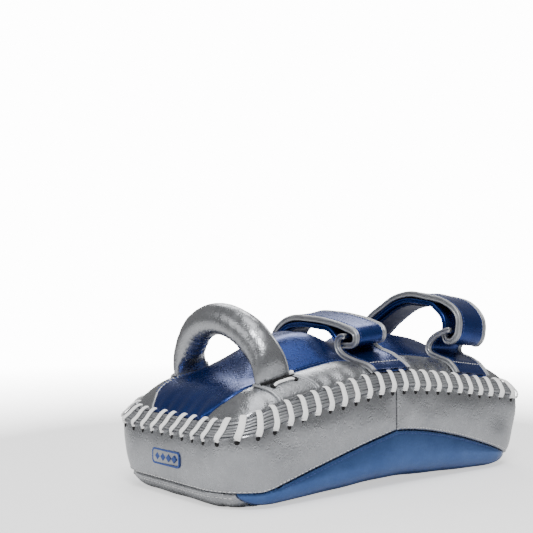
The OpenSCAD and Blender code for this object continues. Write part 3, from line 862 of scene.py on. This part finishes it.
def rim_gathers(grid):
    """Folds that fan in from the lace holes."""
    x, y = grid[..., 0], grid[..., 1]
    d = inset_at(x, y)
    s = along_outline(x, y)
    fade = np.exp(-np.maximum(d - 11.0, 0.0) / 8.0) * clamp((d - RIM_INSET) / 3.0)
    return -RIM_GATHER * fade * pull(s, LACE_LEAN)


def blue_half(x):
    """Half width of the blue back panel, drawn in at both ends of the pad."""
    drawn = clamp((np.abs(x) - END_DRAW_START) / END_DRAW_LENGTH)
    return BLUE_HALF_WIDTH - END_DRAW * drawn ** 2


def back_centre_grid():
    """Rows from the hand end to the elbow end, columns across."""
    lines = []
    far = HALF_L - RIM_INSET
    x = wide_spread(2 * far, 3.0, 1.0) * far
    for share in wide_spread(2 * BLUE_HALF_WIDTH, 3.6, 1.0):
        y = share * blue_half(x)
        lines.append(resample(np.stack([x, y, back_surface(x, y)], axis=1), spread(380.0, 3.6, 1.0)))
    return np.stack(lines, axis=1)


grid = back_centre_grid()
back_centre = finished(grid, 0.6, 10.0, 31, unevenness=0.5, extra=rim_gathers(grid))
place(shell("back_panel_centre_leather", back_centre, BLUE_DARK), "blue_leather_dark", "back_panel_centre")

BACK_TIP = 193.3
back_sides = {}
for name, side, seed in (("back_panel_left", 1, 32), ("back_panel_right", -1, 33)):
    lines = []
    for x in wide_spread(2 * BACK_TIP, 3.4, 1.0) * BACK_TIP:
        y = np.linspace(float(blue_half(x)), plan_half(x, CORNER - RIM_INSET), 60)
        z = back_surface(np.full_like(y, x), y)
        lines.append(resample(np.stack([np.full_like(y, x), side * y, z], axis=1), spread(38.0, 2.6, 1.0)))
    grid = np.array(lines)
    back_sides[side] = finished(grid, 0.6, 8.0, seed, unevenness=0.35, extra=rim_gathers(grid))
    place(shell(name + "_leather", back_sides[side], SILVER), "silver_leather", name)


# ---------------------------------------------------------------- padding


def foam_layer(name, low, high, margin, half=0):
    """Closed block of padding between two height functions of plan place, drawn in from the outline; half is
    -1 for the hand end, 1 for the elbow end and 0 for both."""
    ring = []
    for s in np.linspace(0, PERIMETER, 120, endpoint=False):
        x, y, nx, ny = outline(s)
        ring.append((x - nx * margin, y - ny * margin))
    ring = np.array(ring)
    if half:
        ring[:, 0] = half * np.maximum(half * ring[:, 0], 0.6)
    middle = np.array([half * HALF_L / 2, 0.0])
    rings = []
    shares = (0.05, 0.4, 0.7, 0.85, 0.94, 1.0)
    for function, order in ((low, shares), (high, shares[::-1])):
        for share in order:
            plan = middle + (ring - middle) * share
            rings.append(np.column_stack([plan, function(plan[:, 0], plan[:, 1])]))
    place(tube(name + "_block", np.array(rings), FOAM), "foam", name)


# The padding stays this far inside the leather, and is split between the strike, core and back layers.
SKIN = 4.5
STRIKE_FOAM_TOP, CORE_FOAM_BASE, CORE_FOAM_DROP, BACK_FOAM_DROP = 24.0, 26.0, 13.0, 12.0
foam_layer("strike_foam", lambda x, y: strike_point(x, y) + SKIN,
           lambda x, y: np.maximum(face_z(x) + STRIKE_FOAM_TOP, strike_point(x, y) + SKIN + 1.0), 5.0)
for end, half in (("hand", -1), ("elbow", 1)):
    foam_layer("core_foam_" + end, lambda x, y: face_z(x) + CORE_FOAM_BASE,
               lambda x, y: edge_z(x) - CORE_FOAM_DROP, 5.0, half)
foam_layer("back_foam", lambda x, y: edge_z(x) - BACK_FOAM_DROP, lambda x, y: back_surface(x, y) - SKIN, 12.0)

# ---------------------------------------------------------------- handle

HANDLE_LEAN = math.radians(12.0)
FOLD_POINT = np.array([FOLD[0], FOLD[1], FOLD[2]]) / MM + np.array([2.0, 0.0, 0.5])
LEAN_UP = np.array([-math.sin(HANDLE_LEAN), 0.0, math.cos(HANDLE_LEAN)])
LEAN_SIDE = np.array([math.cos(HANDLE_LEAN), 0.0, math.sin(HANDLE_LEAN)])
GRIP = 15.5
FLAT_LENGTH, FOOT_WIDER, FOOT_THINNER = 36.0, 4.5, 11.0
BEAD_RADIUS, BEAD_ANGLE = 1.2, 0.5
HALF_ARCH = [(64.5, -15), (65.5, -9), (65.5, -2), (63.3, 6), (58.4, 14), (51.0, 22.5), (41, 32),
             (26.5, 39.6), (13, 43.6), (0, 44.8)]
ARCH = spline(HALF_ARCH + [(-y, h) for y, h in HALF_ARCH[-2::-1]], 9)
ARCH_LENGTH = running_length(ARCH)[-1]
HANDLE_RINGS = int(ARCH_LENGTH / 1.9)
arch = resample(ARCH, np.linspace(0, 1, HANDLE_RINGS))
arch_tangent = unit(np.gradient(arch, axis=0))
arch_out = np.stack([arch_tangent[:, 1], -arch_tangent[:, 0]], axis=1)
arch_out *= np.sign(np.sum(arch_out * (arch - np.array([0, -20.0])), axis=1))[:, None]


def from_fold(y, h):
    """World place of a point in the handle's leaning plane: y across the pad, h up from the fold line."""
    return FOLD_POINT + np.array([0.0, y, 0.0]) + h * LEAN_UP


def crease(from_end, angle, phase):
    """Wrinkles across the inside of the handle's bends, deepest on its inner face."""
    inner = clamp(-np.sin(angle)) ** 1.2
    share = math.exp(-((from_end - 58.0) / 22.0) ** 2) + 0.5 * math.exp(-((from_end - 28.0) / 10.0) ** 2)
    turn = from_end * 2 * math.pi
    wave = math.sin(turn / 8.5 + phase) + 0.5 * math.sin(turn / 4.9 + 2 * phase)
    return share * (0.6 * inner * wave + 0.18 * np.sin(from_end * 0.55 + 3 * angle))


handle_rings, core_rings, bead_rings = [], [], []
angles = np.arange(40) * 2 * math.pi / 40
for k in range(HANDLE_RINGS):
    from_end = min(k, HANDLE_RINGS - 1 - k) / (HANDLE_RINGS - 1) * ARCH_LENGTH
    flat = 1 - smooth(min(from_end / FLAT_LENGTH, 1.0))
    wide, thick = GRIP + FOOT_WIDER * flat, GRIP - FOOT_THINNER * flat
    centre = from_fold(*arch[k])
    out = arch_out[k, 0] * np.array([0.0, 1.0, 0.0]) + arch_out[k, 1] * LEAN_UP
    seam_dip = -0.7 * np.exp(-((angles - 1.62 * math.pi) / 0.09) ** 2)
    swell = (crease(from_end, angles, 1.0 if arch[k, 0] > 0 else 2.3) + seam_dip) * (1 - flat)
    power = 1.0 - 0.35 * flat
    across, outwards = squared(np.cos(angles), power)[:, None], squared(np.sin(angles), power)[:, None]
    swell = swell[:, None]
    handle_rings.append(centre + across * (wide + swell) * LEAN_SIDE + outwards * (thick + swell) * out)
    core_rings.append(centre + 0.72 * across * wide * LEAN_SIDE + 0.6 * np.sin(angles)[:, None] * thick * out)
    bead = centre + (wide + BEAD_RADIUS / 2) * math.cos(BEAD_ANGLE) * LEAN_SIDE
    bead = bead + (thick + BEAD_RADIUS / 2) * math.sin(BEAD_ANGLE) * out
    bead_rings.append(circle(bead, BEAD_RADIUS, LEAN_SIDE, out, 8))

FOLD_START, FOLD_END = Vector(from_fold(0.0, -8.0) * MM), Vector(from_fold(0.0, 10.0) * MM)
for label, rings, material, slot, replaced in (
        ("leather", handle_rings, SILVER, "silver_leather", "handle_cover"),
        ("foam", core_rings, FOAM, "foam", "handle_core"),
        ("bead", bead_rings, BINDING, "silver_binding", "handle_piping")):
    piece = tube("handle_" + label, np.array(rings), material)
    place_blended(piece, "handle", FOLD_START, FOLD_END, slot, replaced)

TAB_THICKNESS = 2.5
TAB_TOP, TAB_END = 64.0, 90.5
TAB_X, TAB_SKEW = -131.0, 13.0
TAB_HALF, TAB_FLARE = 20.5, 3.0
EYELET_DOWN = 0.47
EYELET_LIP = ((-1.0, 2.0), (0.1, 3.1), (0.5, 3.0), (0.6, 2.2))


def over_back(x, y, lift):
    """Point on the back panels at plan x, y raised by lift."""
    return np.stack([x, y, back_surface(x, y) + 1.0 + lift], axis=-1)


def tab_place(across, down, side, lift):
    """Place on a handle tab: across from -1 to 1, down from the handle's foot (0) to the rim (1)."""
    skew = smooth(down)
    x = TAB_X + TAB_SKEW * skew + across * (TAB_HALF + TAB_FLARE * skew)
    return over_back(x, side * (TAB_TOP + (TAB_END - TAB_TOP) * down), lift)


for name, side in (("left", 1), ("right", -1)):
    across, down = np.meshgrid(wide_spread(44.0, 2.5, 0.7, 3.0), spread(27.5, 2.0, 0.7, 3.0), indexing="ij")
    top = tab_place(across, down, side, TAB_THICKNESS - 0.6)
    top[..., 2] += tucked(edge_distance(top), 1.0, 2.2)
    leather_tab = shell(f"handle_tab_{name}_leather", top, SILVER, TAB_THICKNESS)
    place(leather_tab, "silver_leather", f"handle_tab_{name}")
    facing = unit(np.array([0.0, side * 0.45, 0.88]))
    level = np.array([1.0, 0.0, 0.0])
    second = np.cross(facing, level)
    pipes = []
    for edge in (-1, 1):
        down_line = np.linspace(-0.02, 1.0, 24)
        for inner, radius in ((0.0, 1.25), (0.125, 0.95)):
            centres = tab_place(np.full(24, edge * (1.0 - inner)), down_line, side, 1.5)
            ups = unit(np.cross(np.gradient(centres, axis=0), level))
            ups *= np.sign(ups[:, 2:])
            pipe = [(c, level, u) for c, u in zip(centres, ups)]
            pipes.append(sweep(pipe, ellipse(radius, radius * 1.1, 8)))
    place(joined_tubes(f"handle_tab_{name}_piping", pipes, BINDING), "silver_binding", f"handle_foot_{name}")
    row = tab_place(np.linspace(-0.94, 0.94, 14), np.full(14, 0.27), side, TAB_THICKNESS + 0.3)
    # Near-black tube along the groove: painted shade in the groove.
    groove = sweep([(c, second, facing) for c in row], ellipse(0.9, 0.7, 8))
    place(joined_tubes(f"handle_foot_{name}_groove", [groove], HOLE_SHADE), "silver_leather")

    # The eyelets are near-black rings: painted shade inside the holes.
    eyelets = []
    for edge in (-1, 1):
        centre = tab_place(np.array(edge * 0.6), np.array(EYELET_DOWN), side, TAB_THICKNESS - 0.2)
        eyelets.append(np.array([circle(centre + facing * h, r, level, second, 14) for h, r in EYELET_LIP]))
    lift = TAB_THICKNESS + 1.7 - 2.6 * np.abs(np.linspace(-1, 1, 16)) ** 5
    line = tab_place(np.linspace(-0.58, 0.58, 16), np.full(16, EYELET_DOWN), side, lift)
    tie = sweep([(c, second, facing) for c in line], ellipse(1.7, 0.95, 10))
    centre = tab_place(np.array(1.0), np.array(0.15), side, 3.6)
    knot = [circle(centre + 2.6 * t * level, 2.2 * math.sqrt(max(1 - t * t, 0.02)), facing, second, 10)
            for t in np.linspace(-1, 1, 7)]
    replaced = ["handle_ties"] if side > 0 else []
    place(joined_tubes(f"handle_tie_{name}", [tie, np.array(knot)], CORD), "white_cord", *replaced)
    place(joined_tubes(f"handle_eyelets_{name}", eyelets, HOLE_SHADE), "rim_leather")

# ---------------------------------------------------------------- straps

STRAP_HALF, CATCH_HALF = 22.0, 27.5
# A strap leans by this share of the rim's slope where it crosses the back.
STRAP_SHARE = 0.5
# The first strap is higher on its elbow side by this share of the distance across it.
WRIST_TILT = 0.1
LAYER_STEP = 7.2
ROOT_Y, ROOT_LENGTH = 66.0, 22.0
STRAP_2_X = 121.5

# Side views of the straps: (y, height above the side wall's edge) points.
TAIL_1 = [(-62, 49), (-61.2, 53.4), (-57, 56.8), (-48, 59.4), (-30, 63), (-8, 66.2), (21, 68), (41, 65.4),
          (54, 59.4), (63, 51.5), (68, 43)]
TAIL_2 = [(-88, 66), (-87.4, 73), (-84, 80.5), (-74.5, 89.3), (-59.5, 95.7), (-29, 100.7), (-9, 100.6),
          (11, 94.8), (32, 82.4), (46, 72), (58, 59)]
FOLD_1 = [(-35, 45.5), (-40, 42.2), (-48, 41.6), (-56, 42), (-60.5, 44.5)]
FOLD_2 = [(-68.2, 63), (-69, 56.5), (-72.8, 51.4), (-80, 51.2), (-86.4, 57.5)]
RISE_1 = [(-48, 41.6), (-40, 42.2), (-35, 45.5), (-29.5, 51.6)]
RISE_2 = [(-72.8, 51.4), (-69, 56.5), (-68.2, 63), (-67.6, 71), (-63.2, 79.6), (-54, 87.2)]
END_1 = [(72, 31), (80, 24.2), (87.5, 20.4), (91, 18.2)]
END_2 = [(65.5, 43.5), (74, 35), (81.5, 27.2), (87.5, 22), (91, 18.8)]
CATCH_1 = [(-92, 17), (-86.5, 20.4), (-80, 23), (-72, 25.8), (-62, 28.4), (-54, 30.4), (-46.4, 34),
           (-42, 38.4), (-40.8, 44), (-43, 49.2), (-47.2, 51.6), (-51.4, 51.6)]
CATCH_2 = [(-92, 17.4), (-87.5, 22.5), (-80, 28.8), (-72, 31.8), (-63, 34.4), (-55, 37), (-51.2, 42.2),
           (-53, 49.2), (-59, 55.6), (-67, 59.8), (-75, 62), (-80, 62.4)]


def path_normals(path):
    tangents = unit(np.gradient(path, axis=0))
    return np.stack([-tangents[:, 1], tangents[:, 0]], axis=1)


def lowered(path, drop):
    return path - path_normals(path) * drop


def strap_point(x, px, y, pz):
    """World place of a point given across, along and above a strap that crosses the back at x."""
    slope = at(edge_z, x + 0.5) - at(edge_z, x - 0.5)
    turn = -STRAP_SHARE * math.atan(slope)
    rooted = smooth(clamp((abs(y) - ROOT_Y) / ROOT_LENGTH))
    tilt = WRIST_TILT * px * (1 - rooted) if x < STRAP_2_X else 0.0
    twist = STRAP_SHARE * slope * px * rooted + tilt
    z = at(edge_z, x) - px * math.sin(turn) + pz * math.cos(turn) + twist
    return np.array([x + px * math.cos(turn) + pz * math.sin(turn), y, z])


def strap_rings(x, path, loop, across=0.0, waver=0.0, seed=0):
    """Rings of a ribbon along a (y, z) path; loop is a closed profile of (across, up) points."""
    normals = path_normals(path)
    steps = running_length(path)
    rings = []
    for k, (y, z) in enumerate(path):
        lift = waver * math.sin(steps[k] / 11.0 + seed) + 0.6 * waver * math.sin(steps[k] / 5.3 + 2 * seed)
        ring = []
        for a, u in loop:
            u = u + lift * ((a + across) / STRAP_HALF) ** 2
            ring.append(strap_point(x, a + across, y + normals[k, 0] * u, z + normals[k, 1] * u))
        rings.append(ring)
    return np.array(rings)


def web_loop(half_width, half_thickness):
    """Slightly pillowed flat section."""
    a = np.linspace(-1, 1, 11)
    top = [(half_width * t, half_thickness * (1 + 0.22 * (1 - t ** 4))) for t in a]
    return top[::-1] + [(half_width * t, -half_thickness * (1 + 0.1 * (1 - t ** 4))) for t in a]


BINDING_TOP = [(-3.0, 0.70), (-2.3, 0.96), (-1.5, 0.98), (-0.85, 0.74), (-0.45, 0.72), (0.1, 1.02),
               (1.0, 1.18), (1.9, 1.14), (2.6, 0.92), (2.8, 0.62), (2.3, 0.38), (0.8, 0.3), (0.5, 0.1)]


def binding_loop(half_thickness, side):
    """Bound edge: a corded ridge on each face and a groove between them along the strap's edge."""
    top = [(a, u * half_thickness) for a, u in BINDING_TOP]
    loop = top + [(a, -u) for a, u in reversed(top)]
    return [(a * side, u) for a, u in loop]


WEB_INSET, BINDING_INSET, BINDING_RAISE, THREAD_INSET = 2.6, 2.9, 0.7, 7.2


def bound_ribbon(name, x, path, half, half_thickness, web_material, edge_material, waver, seed):
    """Leather web and its two bound edges; returns both objects, not yet riding."""
    rings = strap_rings(x, path, web_loop(half - WEB_INSET, half_thickness), 0.0, waver, seed)
    loop = [binding_loop(half_thickness + BINDING_RAISE, side) for side in (-1, 1)]
    edges = [strap_rings(x, path, points, side * (half - BINDING_INSET), waver, seed)
             for points, side in zip(loop, (-1, 1))]
    return tube(name + "_leather", rings, web_material), joined_tubes(name + "_edges", edges, edge_material)


def strap_thread(name, x, path, half, lift):
    """Stitches just inside both bindings, on the face at the given lift."""
    parts = []
    normals = path_normals(path)
    facing = np.array([[0.0, n[0], n[1]] for n in normals]) * (1 if lift > 0 else -1)
    for side in (-1, 1):
        points = [strap_point(x, side * (half - THREAD_INSET), y + n[0] * lift, z + n[1] * lift)
                  for (y, z), n in zip(path, normals)]
        parts += stitches(points, facing, 3.8, 0.7, 0.36)
    return joined_tubes(name, parts, THREAD_BLUE)


def part_of(line, start, end):
    return line[int(len(line) * start):int(len(line) * end)]


for number, x, tail, fold, climb, end, catch, blend_start, blend_end in (
        (1, 0.0, TAIL_1, FOLD_1, RISE_1, END_1, CATCH_1, 29.5, 39.0),
        (2, STRAP_2_X, TAIL_2, FOLD_2, RISE_2, END_2, CATCH_2, 37.0, 50.0)):
    name = f"strap_{number}"
    tail_line = spline(tail, 8)
    outer = spline(fold + tail, 7)
    under = lowered(tail_line, LAYER_STEP)
    band = spline(climb + [tuple(p) for p in under[35:78:4]] + end, 6)

    base = Vector((x * MM, 0.0, at(edge_z, x) * MM))
    lean = Vector((0.0, 0.3, 0.954)).normalized()
    line_start, line_end = base + lean * blend_start * MM, base + lean * blend_end * MM

    web, binding = bound_ribbon(name + "_outer", x, outer, STRAP_HALF, 2.0, BLUE_DARK, BINDING, 0.3, number)
    threads = strap_thread(name + "_outer_thread", x, outer[30:], STRAP_HALF, 2.5)
    hook_line = lowered(part_of(tail_line, 0.55, 0.9), 2.85)
    hooks = tube(name + "_hooks", strap_rings(x, hook_line, web_loop(14.5, 0.55)), TAPE)
    for piece, slot, replaced in ((web, "blue_leather_dark", [name + "_tail"]),
                                  (binding, "silver_binding", [name + "_tail_binding"]),
                                  (threads, "blue_leather_dark", []),
                                  (hooks, "hook_and_loop", [name + "_hook_patch"])):
        place_blended(piece, name + "_tail", line_start, line_end, slot, *replaced)

    web, binding = bound_ribbon(name + "_band", x, band, STRAP_HALF - 0.5, 1.6, BLUE_DARK, BLUE_DARK, 0.2,
                                number + 3)
    place(web, "blue_leather_dark", name + "_band")
    place(binding, "silver_binding", name + "_band_binding")
    place(strap_thread(name + "_band_thread", x, band[24:-6], STRAP_HALF, -2.4), "blue_leather_dark")
    lining = strap_rings(x, lowered(part_of(band, 0.42, 0.8), 3.5), web_loop(15.5, 1.2))
    place(tube(name + "_lining", lining, LINING), "blue_lining", name + "_liner")
    loops = strap_rings(x, lowered(part_of(tail_line, 0.5, 0.8), LAYER_STEP - 2.75), web_loop(14.5, 0.55))
    place(tube(name + "_loops", loops, TAPE), "hook_and_loop", name + "_loop_patch")

    catch_line = spline(catch, 6)
    web, binding = bound_ribbon(name + "_catch", x, catch_line, CATCH_HALF, 1.8, BLUE_DARK, BINDING, 0.15,
                                number + 5)
    place(web, "blue_leather_dark", name + "_catch")
    place(binding, "silver_binding", name + "_catch_binding")
    place(strap_thread(name + "_catch_thread", x, catch_line[6:], CATCH_HALF, 2.3), "blue_leather_dark")
    for label, root, share, half, turn in (("catch", catch_line, 0.14, CATCH_HALF, 1),
                                           ("band", band[::-1], 0.08, STRAP_HALF, -1)):
        y, z = resample(root, np.array([share]))[0]
        row = [strap_point(x, px, y, z + 2.7) for px in np.linspace(-half + 6.5, half - 6.5, 10)]
        facing = np.tile([0.0, -0.45 * turn, 0.89], (10, 1))
        place(joined_tubes(f"{name}_{label}_root_thread", stitches(row, facing, 3.8), THREAD_SILVER),
              "silver_binding")

# ---------------------------------------------------------------- seam stitching


def from_edge(grid, edge):
    """The grid turned so that its rows start at its left, right or bottom edge."""
    if edge == "b":
        return grid[::-1].transpose(1, 0, 2)
    return grid if edge == "l" else grid[:, ::-1]


def topstitch(name, surface, edge, distance, material, slot, trim):
    """Stitches on a panel, a fixed distance in from an edge, leaving out trim rows at each end."""
    points, facings = [], []
    for line, facing in zip(from_edge(surface, edge), from_edge(grid_normals(surface), edge)):
        along = running_length(line)
        if along[-1] > 2 * distance:
            points.append([np.interp(distance, along, line[:, k]) for k in range(3)])
            facings.append([np.interp(distance, along, facing[:, k]) for k in range(3)])
    place(joined_tubes(name, stitches(points[trim:-trim], facings[trim:-trim], 4.4), material), slot)


for label in ("hand", "elbow"):
    for edge, side, trim in (("l", "right", 8), ("r", "left", 8), ("b", "end", 4)):
        topstitch(f"strike_{label}_{side}_thread", strike_grids[f"strike_panel_{label}"], edge, 5.0,
                  THREAD_SILVER, "silver_leather", trim)
for label in ("left", "right"):
    topstitch(f"strike_{label}_seam_thread", strike_grids[f"strike_panel_{label}"], "r", 4.5,
              THREAD_BLUE, "blue_leather_light", 10)
for label in ("hand", "elbow"):
    topstitch(f"wall_{label}_seam_thread", strike_grids[f"side_wall_{label}"], "l", 4.5,
              THREAD_SILVER, "silver_leather", 6)
for edge, label in (("l", "right"), ("r", "left")):
    topstitch(f"back_centre_{label}_thread", back_centre, edge, 3.2, THREAD_BLUE, "blue_leather_dark", 10)
for side, label in ((1, "left"), (-1, "right")):
    topstitch(f"back_{label}_thread", back_sides[side], "l", 3.2, THREAD_BLUE, "silver_leather", 8)

# ---------------------------------------------------------------- generic marks


def plate(outer, place_point, low, high, inner=None):
    """Closed flat piece from a 2-D outline, with an optional hole of as many points; place_point takes
    (u, v, height)."""
    count = len(outer)
    loops = [(outer, low), (outer, high)]
    if inner is not None:
        loops += [(inner, high), (inner, low)]
    points = [place_point(u, v, h) for loop, h in loops for u, v in loop]
    faces = []
    if inner is None:
        faces = [tuple(range(count))[::-1], tuple(range(count, 2 * count))]
    for row in range(1 if inner is None else 4):
        near, far = row * count, (row + 1) % len(loops) * count
        faces += [(near + k, near + (k + 1) % count, far + (k + 1) % count, far + k) for k in range(count)]
    return np.array(points), faces


def plates(name, parts, material):
    """One flat-shaded piece of several plates."""
    points, faces, start = [], [], 0
    for part_points, part_faces in parts:
        points.append(part_points)
        faces += [tuple(start + v for v in face) for face in part_faces]
        start += len(part_points)
    made = make_mesh(name, np.vstack(points), faces, material)
    for polygon in made.data.polygons:
        polygon.use_smooth = False
    outward(made)
    return made


def regular(radius, sides, stretch, turn=0.0):
    """Outline of a regular polygon, stretched along u."""
    return [(radius * stretch * math.cos(turn + 2 * math.pi * k / sides),
             radius * math.sin(turn + 2 * math.pi * k / sides)) for k in range(sides)]


def strike_mark_point(u, v, height):
    """Place on the strike face, near its hand end."""
    return np.array([STRIKE_MARK_X + u, v, 0.9 - height])


STRIKE_MARK_X, WALL_MARK_Z = -154.0, 38.0
outer, inner, dot = (regular(radius, 6, 0.86, math.pi / 6) for radius in (26.0, 19.5, 11.0))
hexagons = [plate(outer, strike_mark_point, 0.0, 0.85, inner), plate(dot, strike_mark_point, 0.0, 0.85)]
place(plates("strike_mark", hexagons, BLUE_DARK), "blue_leather_dark")


def wall_mark_point(u, v, height):
    """Place on the wall at the hand end."""
    return np.array([-(HALF_L + 1.9 + height), -u, WALL_MARK_Z + v])


def rounded_bar(half_width, half_height, radius):
    """Outline of a rectangle with round corners."""
    steps = 5
    points = []
    for cx, cy, start in ((1, 1, 0), (-1, 1, 90), (-1, -1, 180), (1, -1, 270)):
        for k in range(steps + 1):
            angle = math.radians(start + 90 * k / steps)
            points.append((cx * (half_width - radius) + radius * math.cos(angle),
                           cy * (half_height - radius) + radius * math.sin(angle)))
    return points


badge = [plate(rounded_bar(22.5, 7.5, 4.0), wall_mark_point, -1.0, 0.9, rounded_bar(20.7, 5.7, 2.4))]
for k in range(4):
    middle = -13.5 + 9.0 * k
    badge.append(plate([(middle + u, v) for u, v in regular(3.6, 4, 1.1)], wall_mark_point, -1.0, 0.9))
place(plates("wall_badge", badge, BLUE_DARK), "blue_leather_dark")

# ---------------------------------------------------------------- stage and camera


def area_light(name, where, target, size, power):
    """Rectangular light aimed at target; metres and watts."""
    data = bpy.data.lights.new(name, "AREA")
    data.shape = "RECTANGLE"
    data.size, data.size_y = size
    data.energy = power
    light = bpy.data.objects.new(name, data)
    light.location = where
    light.rotation_euler = (Vector(target) - Vector(where)).to_track_quat("-Z", "Y").to_euler()
    bpy.context.scene.collection.objects.link(light)


def seen_and_unseen(tree, seen, unseen, socket):
    """Drives a socket with one value for what the camera sees and another for the light it gives."""
    path = tree.nodes.new("ShaderNodeLightPath")
    tree.links.new(ramp(tree, path.outputs["Is Camera Ray"], 0.0, 1.0, unseen, seen), socket)


FLOOR_GLOW, BACKDROP_SEEN, BACKDROP_LIGHT = 0.9, 14.0, 0.28

# The floor fades out away from the pad, and glows so that it looks as white as the backdrop.
bpy.ops.mesh.primitive_plane_add(size=9.0, location=(0.0, 0.0, 0.0))
floor = bpy.context.object
floor.name = "floor"
floor_material, floor_tree, floor_shader = new_material("floor")
set_inputs(floor_shader, Base_Color=(0.9, 0.9, 0.9, 1.0), Roughness=0.9, Emission_Color=WHITE)
spot = node(floor_tree, "ShaderNodeTexGradient", gradient_type="SPHERICAL")
spot_place = node(floor_tree, "ShaderNodeMapping", Scale=(0.62, 0.62, 1.0))
floor_tree.links.new(position(floor_tree), spot_place.inputs["Vector"])
floor_tree.links.new(spot_place.outputs["Vector"], spot.inputs["Vector"])
floor_tree.links.new(ramp(floor_tree, spot.outputs["Fac"], 0.12, 0.72), floor_shader.inputs["Alpha"])
seen_and_unseen(floor_tree, FLOOR_GLOW, 0.0, floor_shader.inputs["Emission Strength"])
floor.data.materials.append(floor_material)

area_light("key_light", (-0.9, -1.1, 1.7), (0.0, 0.0, 0.05), (0.7, 0.7), 33.0)
area_light("fill_light", (-1.9, 0.5, 1.1), (0.0, 0.0, 0.08), (1.4, 1.0), 8.0)
area_light("rim_light", (1.0, 1.3, 1.5), (0.0, 0.0, 0.1), (1.2, 0.7), 16.0)
area_light("top_light", (0.2, -0.2, 2.1), (0.0, 0.0, 0.1), (1.2, 1.2), 13.0)

# The backdrop looks white to the camera and lights the pad more softly.
world = bpy.data.worlds.new("studio")
world.use_nodes = True
backdrop = world.node_tree.nodes["Background"]
set_inputs(backdrop, Color=WHITE)
seen_and_unseen(world.node_tree, BACKDROP_SEEN, BACKDROP_LIGHT, backdrop.inputs["Strength"])
bpy.context.scene.world = world

# Camera fitted to the photo: aimed at the pad, then turned a little left and up.
CAMERA_TURN, CAMERA_LENS = math.radians(-42.71), 67.43
LOOK_LEFT, LOOK_UP = 0.061, 0.156
camera_data = bpy.data.cameras.new("camera")
camera_data.lens = CAMERA_LENS
camera = bpy.data.objects.new("camera", camera_data)
camera.location = (-0.7186, -0.7785, 0.2029)
right = Vector((math.cos(CAMERA_TURN), math.sin(CAMERA_TURN), 0.0))
forward = (Vector((0.0, 0.0, 0.05)) - camera.location).normalized()
forward = forward - right * LOOK_LEFT + Vector((0.0, 0.0, LOOK_UP))
camera.rotation_euler = forward.to_track_quat("-Z", "Y").to_euler()
bpy.context.scene.collection.objects.link(camera)
bpy.context.scene.camera = camera
